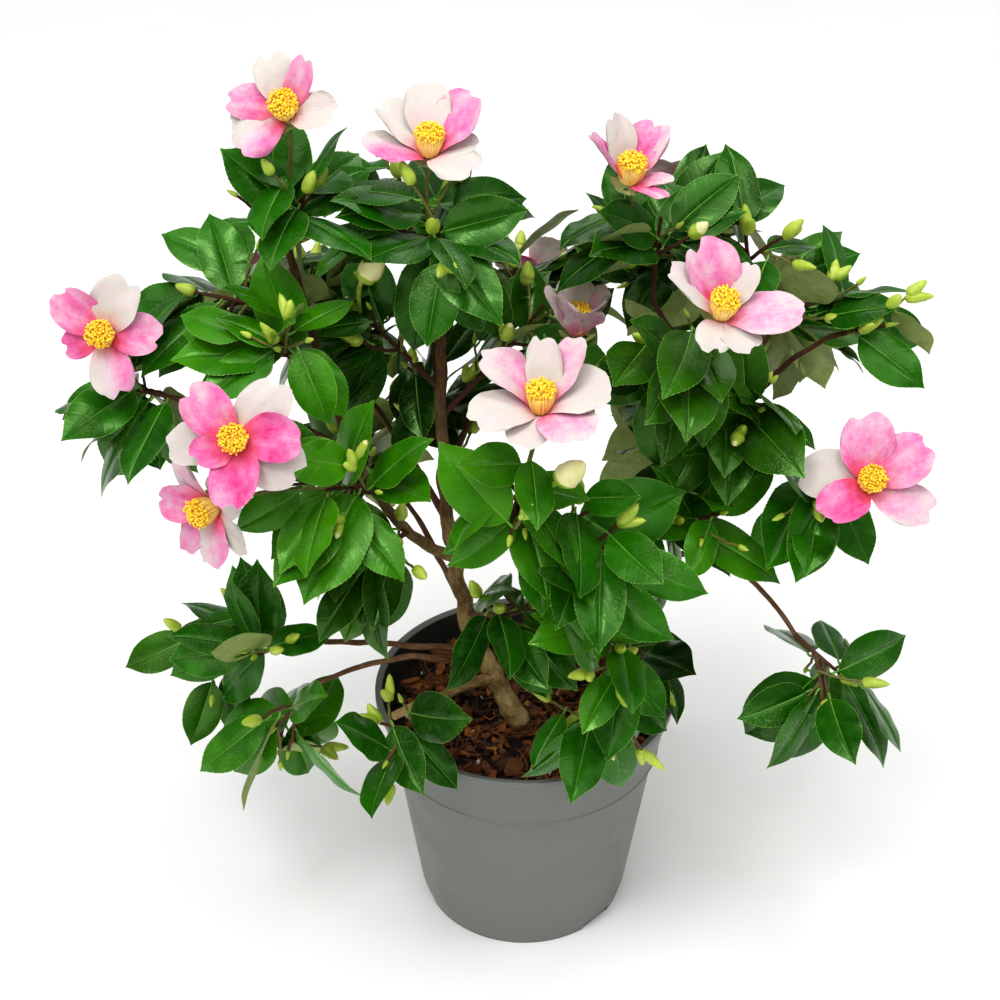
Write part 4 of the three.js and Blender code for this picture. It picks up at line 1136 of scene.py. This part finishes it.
def rounded(profile, radius, steps=3):
    """A profile with each inner corner rounded."""
    profile = [np.array(p, float) for p in profile]
    made = [profile[0]]
    for before, corner, after in zip(profile, profile[1:], profile[2:]):
        cut = min(radius, 0.45 * np.linalg.norm(before - corner), 0.45 * np.linalg.norm(after - corner))
        start, end = corner + unit(before - corner) * cut, corner + unit(after - corner) * cut
        made += [Curve(start, corner, end).point(t) for t in np.linspace(0, 1, steps + 1)]
    return made + [profile[-1]]


def lathe_mesh(profile, sides):
    """A profile that starts and ends on the axis, turned round it."""
    points = [(r * math.cos(t), r * math.sin(t), z) for r, z in profile[1:-1] for t in turns_round(sides)]
    points += [(0, 0, profile[0][1]), (0, 0, profile[-1][1])]
    return points, capped_faces(len(profile) - 2, sides)


# The photo has the collar's ledge this much lower than the solid.
LEDGE_LOWER = 5
# The pot's fine lines: how far the wall flares just over the foot and how high that is, the ledge's bead as
# steps out and up, how far the wall ends below it, and how far the lip's cone and the rim's slope go down.
POT_LINES = {"flare": (3.6, 14), "bead": ((0.3, 0), (0.4, 1.0), (-0.2, 1.7)), "wall_end": 1.2, "cone": 1.5,
             "slope": 1.2, "corner": 0.6, "sides": 180}


def pot_profile():
    """The pot's outline, up its outside and down its inside."""
    height, wall, floor = POT["height"], POT["wall"], POT["floor"]
    foot, body, ledge = POT["foot_radius"], POT["body_top_radius"], POT["collar_foot_radius"]
    collar, lip, lip_foot = POT["collar_radius"], POT["lip_radius"], height - POT["lip_height"]
    collar_foot, (flare, flare_top) = height - POT["collar_height"] - LEDGE_LOWER, POT_LINES["flare"]
    profile = [(0, 0), (foot, 0), (foot + flare, flare_top), (body, collar_foot - POT_LINES["wall_end"])]
    profile += [(ledge + out, collar_foot + up) for out, up in POT_LINES["bead"]]
    profile += [(collar, lip_foot - POT_LINES["cone"]), (lip, lip_foot), (lip, height)]
    profile += [(collar - wall, height - POT_LINES["slope"]), (body - wall, collar_foot)]
    return rounded(profile + [(foot, floor), (0, floor)], POT_LINES["corner"])


def make_pot(looks):
    profile, sides = pot_profile(), POT_LINES["sides"]
    inmost = POT["collar_radius"] - POT["wall"] + 0.2
    inner = [i > len(profile) / 2 and r < inmost for i, (r, _) in enumerate(profile)]
    slots = np.repeat(inner[1:-2], sides).astype(int).tolist() + [0] * sides + [1] * sides
    pile = Pile()
    pile.add(*lathe_mesh(profile, sides), slots)
    pot = make_piece("nursery_pot", pile, [looks["pot"], looks["pot_inside"]], ["pot"], crease_deg=40)
    for k in range(NOTCH["count"]):
        block = notch_block(math.radians(NOTCH["first_deg"] + 360 * k / NOTCH["count"]))
        cut = pot.modifiers.new("notch", "BOOLEAN")
        cut.operation, cut.solver, cut.object = "DIFFERENCE", "EXACT", block
        bpy.context.view_layer.objects.active = pot
        bpy.ops.object.modifier_apply(modifier=cut.name)
        bpy.data.objects.remove(block)


def notch_block(turn):
    """A block that cuts a notch into the pot's foot."""
    depth, width, height = NOTCH["depth"], NOTCH["width"] / 2, NOTCH["height"]
    radius = POT["foot_radius"] + POT["wall"] / 2
    corners = [(*swung(radius + x, y, turn), z)
               for x in (-depth, depth) for y in (-width, width) for z in (-height, height)]
    faces = [(0, 1, 3, 2), (4, 6, 7, 5), (0, 4, 5, 1), (2, 3, 7, 6), (0, 2, 6, 4), (1, 5, 7, 3)]
    return new_object("block", new_mesh("block", corners, faces))


def inner_radius(z):
    return pot_outer_radius(z) - POT["wall"] - GAP


# The mulch's bed: its points, its depth, how far its rings crowd to the middle, how much lower than the
# mulch's surface it lies, and its humps' height, fineness and seed.
BED = {
    "sides": 120, "rings": 34, "depth": 14, "crowd": 1.15, "lower": 4.5,
    "humps": ((2.6, 0.09, 3), (1.6, 0.3, 9)),
}
# The mulch's chips, how many there are of each size and tint, and a few white specks. Heights are above the
# mulch's surface.
CHIPS = {
    "count": 900, "sizes": ((3, 7), (6, 12), (10, 22)), "size_shares": (0.4, 0.38, 0.22),
    "tint_shares": (0.4, 0.36, 0.18, 0.06), "heights": (-4.5, 1.2), "off_wall": 7,
    "specks": 26, "speck": (1.5, 3), "speck_height": 1.5,
}
FIBRES = {
    "count": 240, "within": 82, "heights": (0, 1.5), "length": (10, 26), "bend": (-0.9, 0.9), "steps": 5,
}


def make_bed(looks):
    sides, rings, top, foot = BED["sides"], BED["rings"], MULCH_TOP - BED["lower"], MULCH_TOP - BED["depth"]
    radii = [inner_radius(MULCH_TOP) * (1 - (i / rings) ** BED["crowd"]) for i in range(rings)]
    profile = [(0, foot), (inner_radius(foot), foot)] + [(radius, top) for radius in radii] + [(0, top)]
    points, faces = lathe_mesh(profile, sides)
    points = np.array(points)
    for p in points[sides:(rings + 1) * sides]:
        for height, fine, seed in BED["humps"]:
            p[2] += height * noise.noise(Vector((p[0], p[1], seed)) * fine)
    bed = Pile()
    bed.add(points, faces)
    make_piece("mulch_bed", bed, [looks["soil"]], ["bark_mulch"], crease_deg=60)


def mulch_spot(rng, within, heights):
    """A random spot on the mulch within a radius."""
    radius, turn = within * math.sqrt(rng.random()), rng.uniform(0, 2 * np.pi)
    return np.array([radius * math.cos(turn), radius * math.sin(turn), MULCH_TOP + rng.uniform(*heights)])


def make_mulch(looks):
    make_bed(looks)
    rng = np.random.default_rng(LOOKS_SEED + 4)
    chips, within = Pile(), inner_radius(MULCH_TOP) - CHIPS["off_wall"]
    for _ in range(CHIPS["count"]):
        centre = mulch_spot(rng, within, CHIPS["heights"])
        long = rng.uniform(*CHIPS["sizes"][rng.choice(3, p=CHIPS["size_shares"])])
        chip_mesh(centre, long, rng.choice(4, p=CHIPS["tint_shares"]), rng, chips)
    for _ in range(CHIPS["specks"]):
        centre = mulch_spot(rng, within, CHIPS["heights"])
        centre[2] = MULCH_TOP + CHIPS["speck_height"]
        chip_mesh(centre, rng.uniform(*CHIPS["speck"]), len(CHIPS["tint_shares"]), rng, chips)
    for _ in range(FIBRES["count"]):
        fibre_mesh(mulch_spot(rng, FIBRES["within"], FIBRES["heights"]), rng, chips)
    make_piece("mulch_chips", chips, looks["chips"], crease_deg=25)


def kept_in(points):
    """Points moved in to stay clear of the pot's wall."""
    points = np.array(points)
    radius = np.hypot(points[:, 0], points[:, 1])
    points[:, :2] *= np.minimum(1, (inner_radius(MULCH_TOP) - 1) / np.maximum(radius, 1))[:, None]
    return points


def chip_mesh(centre, long, look, rng, pile):
    """A splinter of bark: an uneven flat prism, tipped a little."""
    corners = int(rng.integers(5, 8))
    wide, thick = long * rng.uniform(0.22, 0.7), rng.uniform(0.9, 2.6)
    spin, tip, tip_way = rng.uniform(0, 2 * np.pi), rng.normal(0, 0.3), rng.uniform(0, 2 * np.pi)
    up = opened(UP, tip, tip_way)
    across, over = square_to(up)
    first, second = between(across, over, spin) * long, between(over, -across, spin) * wide
    points = []
    for side in (-0.5, 0.5):
        for k in range(corners):
            angle = 2 * np.pi * (k + rng.uniform(-0.25, 0.25)) / corners
            size = rng.uniform(0.75, 1.1) / 2
            lift = side * thick + rng.uniform(-0.25, 0.25)
            points.append(centre + between(first, second, angle) * size + up * lift)
    faces = [tuple(range(corners))[::-1], tuple(range(corners, 2 * corners))]
    pile.add(kept_in(points), faces + grid_faces(2, corners, closed=True), int(look))


def fibre_mesh(place, rng, pile):
    turn = rng.uniform(0, 2 * np.pi)
    bend, length = rng.uniform(*FIBRES["bend"]), rng.uniform(*FIBRES["length"])
    line, steps = [], FIBRES["steps"]
    for _ in range(steps + 1):
        line.append(place)
        way = np.array([math.cos(turn), math.sin(turn), rng.uniform(-0.12, 0.12)])
        place = place + way * length / steps
        turn += bend / steps
    pile.add(*tube(kept_in(line), np.linspace(0.55, 0.25, steps + 1), 4)[:2], int(rng.choice((1, 2))))


# Materials.

def linear(code):
    """A colour written as six hex digits, as the shader's red, green, blue and alpha."""
    parts = [int(code[i:i + 2], 16) / 255 for i in (0, 2, 4)]
    return [((p + 0.055) / 1.055) ** 2.4 if p > 0.04 else p / 12.92 for p in parts] + [1.0]


class Look:
    """A material and a short way to add nodes to it."""

    def __init__(self, name, roughness, specular=0.5, **constants):
        self.material = bpy.data.materials.new(name)
        self.material.use_nodes = True
        self.tree = self.material.node_tree
        self.shader = self.tree.nodes["Principled BSDF"]
        self.shader.inputs["Roughness"].default_value = roughness
        self.shader.inputs["Specular IOR Level"].default_value = specular
        for socket, value in constants.items():
            self.shader.inputs[socket.replace("_", " ")].default_value = value

    def node(self, kind, inputs=(), **settings):
        made = self.tree.nodes.new("ShaderNode" + kind)
        for key, value in settings.items():
            setattr(made, key, value)
        for key, value in dict(inputs).items():
            if isinstance(value, bpy.types.NodeSocket):
                self.tree.links.new(value, made.inputs[key])
            else:
                made.inputs[key].default_value = value
        return made

    def math(self, operation, first, second=0.0, third=0.0):
        return self.node("Math", {0: first, 1: second, 2: third}, operation=operation).outputs[0]

    def place(self, kind="Object"):
        return self.node("TexCoord").outputs[kind]

    def noise(self, scale, detail=3.0, vector=None, roughness=0.55):
        inputs = {"Scale": scale, "Detail": detail, "Roughness": roughness, "Vector": vector or self.place()}
        return self.node("TexNoise", inputs).outputs["Fac"]

    def ramp(self, value, *stops):
        made = self.node("ValToRGB", {"Fac": value})
        points = made.color_ramp.elements
        while len(points) < len(stops):
            points.new(0.5)
        for point, (place, colour) in zip(points, stops):
            point.position = place
            point.color = linear(colour) if isinstance(colour, str) else [colour] * 3 + [1]
        return made.outputs["Color"]

    def mix(self, value, first, second):
        made = self.node("Mix", {"Factor": value}, data_type="RGBA")
        for socket, colour in ((made.inputs[6], first), (made.inputs[7], second)):
            if isinstance(colour, bpy.types.NodeSocket):
                self.tree.links.new(colour, socket)
            else:
                socket.default_value = linear(colour)
        return made.outputs[2]

    def set(self, socket, value):
        self.tree.links.new(value, self.shader.inputs[socket])

    def bump(self, height, strength, distance):
        inputs = {"Height": height, "Strength": strength, "Distance": distance}
        self.set("Normal", self.node("Bump", inputs).outputs["Normal"])


def leaf_top_look(number, dark, light):
    """Glossy deep green, mottled, with shallow side veins and greyish patches of fine specks, partly dust and
    partly painted sheen.
    """
    look = Look(f"leaf_top_{number}", 0.34, specular=0.62, Specular_Tint=(0.55, 1.0, 0.35, 1.0))
    uv = look.node("SeparateXYZ", {"Vector": look.place("UV")})
    aside = look.math("ABSOLUTE", look.math("SUBTRACT", uv.outputs["X"], 0.5))
    sloped = look.math("SUBTRACT", uv.outputs["Y"], look.math("MULTIPLY", aside, 0.75))
    wave = look.math("SINE", look.math("MULTIPLY", sloped, 2 * math.pi / 0.085))
    veins = look.math("POWER", look.math("MULTIPLY_ADD", wave, 0.5, 0.5), 9.0)
    fine = look.math("MULTIPLY", look.noise(45.0, 4.0), 0.4)
    blotches = look.math("MULTIPLY_ADD", look.noise(14.0, 2.0), 0.6, fine)
    tint = look.ramp(blotches, (0.38, dark), (0.62, light))
    tint = look.mix(look.math("MULTIPLY", veins, 0.08), tint, "4b8a24")
    # Greyish patches of fine specks mixed into the base colour: partly dust and partly painted sheen.
    specks = look.ramp(look.noise(900.0, 3.0, None, 0.7), (0.48, 0.0), (0.66, 0.8))
    patches = look.ramp(look.noise(26.0, 3.0), (0.52, 0.0), (0.7, 0.75))
    dust_and_sheen = look.math("MULTIPLY", specks, patches)
    look.set("Base Color", look.mix(dust_and_sheen, tint, "7f9a66"))
    look.set("Roughness", look.ramp(look.noise(80.0, 3.0), (0.3, 0.2), (0.75, 0.36)))
    height = look.math("MULTIPLY_ADD", look.noise(520.0, 3.0), 0.4, look.math("MULTIPLY", veins, -0.16))
    look.bump(height, 0.4, 0.0007)
    return look.material


def plain_look(name, dark, light, roughness, scale=120.0, bump=0.15):
    """Two close tints mixed by noise, with a fine bump."""
    look = Look(name, roughness)
    look.set("Base Color", look.ramp(look.noise(scale, 4.0), (0.3, dark), (0.7, light)))
    look.bump(look.noise(scale * 6, 3.0), bump, 0.0004)
    return look.material


# A petal's colours by its tone, how fine its streaks are across and along, and the scale, detail and strength
# of its other patterns.
PETAL_TINTS = ((0.0, "cdc7bf"), (0.22, "d4c2c5"), (0.44, "dba2bc"), (0.7, "dd73a8"), (1.0, "cf3d80"))
PETAL_STREAKS = {"X": 110.0, "Y": 16.0}
PETAL_GRAIN = ((75.0, 3.0, 0.6), (260.0, 3.0, 0.4), (900.0, 2.0, 0.3))


def petal_look():
    """White through pink by the petal's flush, in soft streaks and fine specks, warmer at the heart."""
    look = Look("petal", 0.62, specular=0.15, Subsurface_Weight=0.08, Subsurface_Scale=0.0015)
    uv = look.node("SeparateXYZ", {"Vector": look.place("UV")})
    grain = {way: look.math("MULTIPLY", uv.outputs[way], fine) for way, fine in PETAL_STREAKS.items()}
    streaks = look.noise(1.0, 4.0, look.node("CombineXYZ", grain).outputs[0])
    flush = look.node("Attribute", attribute_name="flush").outputs["Fac"]
    tone, patterns = flush, [(streaks, 0.4)]
    patterns += [(look.noise(scale, detail), strength) for scale, detail, strength in PETAL_GRAIN]
    for pattern, strength in patterns:
        tone = look.math("ADD", tone, look.math("MULTIPLY", look.math("SUBTRACT", pattern, 0.5), strength))
    near_heart = look.ramp(uv.outputs["Y"], (0.06, 1.0), (0.18, 0.0))
    strength = look.math("MULTIPLY", near_heart, look.math("MULTIPLY_ADD", flush, 0.8, 0.1))
    look.set("Base Color", look.mix(strength, look.ramp(tone, *PETAL_TINTS), "e85f6e"))
    look.bump(streaks, 0.6, 0.0009)
    return look.material


def bark_look(name, dark, middle, light):
    """Bark in fine ridges along the limb, with pale patches, darker and redder towards the shrub's top."""
    look = Look(name, 0.82, specular=0.25)
    long = look.node("Mapping", {"Vector": look.place("UV"), "Scale": (9.0, 11.0, 1.0)}).outputs[0]
    fissures = look.noise(1.6, 6.0, long, 0.65)
    tone = look.math("MULTIPLY_ADD", look.noise(38.0, 3.0), 0.55, look.math("MULTIPLY", fissures, 0.5))
    colour = look.ramp(tone, (0.36, dark), (0.5, middle), (0.68, light))
    height = look.node("SeparateXYZ", {"Vector": look.place()}).outputs["Z"]
    upper = look.ramp(look.math("MULTIPLY", height, 1 / 0.6), (0.36, 0.0), (0.62, 0.75))
    look.set("Base Color", look.mix(upper, colour, "3f2416"))
    look.bump(look.math("MULTIPLY_ADD", look.noise(420.0, 3.0), 0.35, fissures), 0.8, 0.0012)
    return look.material


def pot_look():
    """Matte moulded plastic: an even grey with a faint grain and a few scuffs."""
    look = Look("pot_plastic", 0.5, specular=0.35)
    look.set("Base Color", look.ramp(look.noise(9.0, 3.0, None, 0.5), (0.3, "6f716e"), (0.7, "747672")))
    look.set("Roughness", look.ramp(look.noise(40.0, 4.0), (0.35, 0.36), (0.7, 0.5)))
    look.bump(look.noise(900.0, 2.0), 0.12, 0.0003)
    return look.material


# The dark and the light of each tint of leaves, and of the mulch's chips, whose last tint is the specks'.
# The shaded tint is painted shade: a darker green given to the sprays at the back of the shrub and inside its
# crown.
LEAF_TINTS = {
    "deep": ("0b3800", "1d5902"), "mid": ("104700", "296e03"), "bright": ("1b5800", "3f8006"),
    "olive": ("133900", "2f6007"), "shaded": ("052500", "123d02"),
}
CHIP_TINTS = [
    ("2a170b", "4b2c14"), ("4c2b15", "7a4a24"), ("73401d", "a0602e"), ("a06a36", "cb9255"),
    ("cfc4b4", "f1ebe0"),
]
# Plain looks: the material's name, dark and light, roughness, and its own grain and bump where it has them.
PLAIN_LOOKS = {
    "rib": ("leaf_rib", "5c9230", "7cab45", 0.45),
    "margin": ("leaf_margin", "6f9c34", "8cb84a", 0.5),
    "under": ("leaf_under", "84984e", "a4b06e", 0.6, 160.0),
    "young_twig": ("young_twig", "5d5a28", "7a7a38", 0.55),
    "bud": ("bud_scales", "8fae2e", "bccb56", 0.42, 140.0),
    "bud_tip": ("bud_tip", "dcdc90", "efe8b8", 0.5, 140.0),
    "stamen": ("stamen_column", "f8c65a", "ffdc8c", 0.6),
    "filament": ("filament", "fbd458", "ffe898", 0.55),
    "anther": ("anther", "fdc61c", "ffe455", 0.6, 300.0),
    "calyx": ("calyx", "a9b860", "d3d49a", 0.5, 140.0),
    "pot_inside": ("pot_inside", "1b1b1a", "2a2a28", 0.6),
    "soil": ("mulch_dark", "120905", "2a170d", 0.95, 150.0, 0.8),
}
BARK_LOOKS = {
    "twig": ("twig_bark", "3a2418", "5c3c2a", "7d6450"),
    "bark": ("bark", "43331d", "8a7148", "c0a978"),
    "bough": ("bough_bark", "3c2517", "75523a", "a5876a"),
}


def chip_look(number, dark, light):
    return plain_look(f"mulch_chip_{number}", dark, light, 0.85, 180.0, 0.7)


def make_looks():
    looks = {key: plain_look(*row) for key, row in PLAIN_LOOKS.items()}
    looks.update({key: bark_look(*row) for key, row in BARK_LOOKS.items()})
    looks["leaf_tops"] = [leaf_top_look(i + 1, *pair) for i, pair in enumerate(LEAF_TINTS.values())]
    looks["chips"] = [chip_look(i + 1, *pair) for i, pair in enumerate(CHIP_TINTS)]
    looks["petal"], looks["pot"] = petal_look(), pot_look()
    return looks


# The stage: camera, floor and soft light.

def aim(thing, target):
    thing.rotation_euler = (Vector(target) - thing.location).to_track_quat("-Z", "Y").to_euler()


# The soft lights, aimed at the shrub's middle: place, width and depth, and power.
SOFTBOXES = {
    "key": ((-0.5, -0.9, 1.9), (0.42, 0.42), 8),
    "top": ((0.25, -0.15, 2.0), (0.42, 0.42), 5),
    "side": ((1.2, -0.4, 1.6), (0.6, 0.8), 4),
    "back": ((0.2, 1.5, 1.7), (1.2, 0.8), 4),
}
SHRUB_MIDDLE = (0, 0, 0.33)
# A sun so wide that its shadows stay soft.
SUN = {"place": (-0.5, -0.9, 1.7), "strength": 1.75, "width_deg": 80}
SKY_STRENGTH = 0.33
FLOOR_HALF = 6000


def new_light(name, kind, place, target, **settings):
    light = bpy.data.lights.new(name, kind)
    for key, value in settings.items():
        setattr(light, key, value)
    made = new_object(name, light)
    made.location = place
    aim(made, target)


def make_lights():
    for name, (place, (width, depth), power) in SOFTBOXES.items():
        sizes = {"size": width, "size_y": depth}
        new_light(name, "AREA", place, SHRUB_MIDDLE, shape="RECTANGLE", energy=power, **sizes)
    width = math.radians(SUN["width_deg"])
    new_light("sun", "SUN", SUN["place"], (0, 0, 0), energy=SUN["strength"], angle=width)


def make_stage():
    scene = bpy.context.scene
    camera = new_object("camera", bpy.data.cameras.new("camera"))
    camera.data.lens, camera.location = CAMERA["lens"], CAMERA["place"]
    camera.rotation_euler = (math.radians(CAMERA["tilt_deg"]), 0, 0)
    scene.camera = camera
    scene.view_settings.view_transform = "Standard"
    scene.view_settings.look = "Medium High Contrast"
    scene.world = bpy.data.worlds.new("studio")
    scene.world.use_nodes = True
    sky = scene.world.node_tree.nodes["Background"].inputs
    sky["Color"].default_value = (1, 1, 1, 1)
    sky["Strength"].default_value = SKY_STRENGTH
    corners = [(x * FLOOR_HALF, y * FLOOR_HALF, 0) for x, y in ((-1, -1), (1, -1), (1, 1), (-1, 1))]
    mesh = new_mesh("floor", corners, [(0, 1, 2, 3)])
    floor = new_object("floor", mesh)
    look = Look("floor", 0.9, specular=0.1)
    look.set("Base Color", look.ramp(look.noise(3.0), (0.3, "f4f4f3"), (0.7, "f8f8f8")))
    mesh.materials.append(look.material)
    make_lights()


make_stage()
LOOKS = make_looks()
LIMBS, GROWN = grow()
make_pot(LOOKS)
make_mulch(LOOKS)
make_limbs(LIMBS, LOOKS)
make_leaves(GROWN, LOOKS)
make_twigs(GROWN, LOOKS)
make_buds(GROWN, LOOKS)
make_blooms(LOOKS)
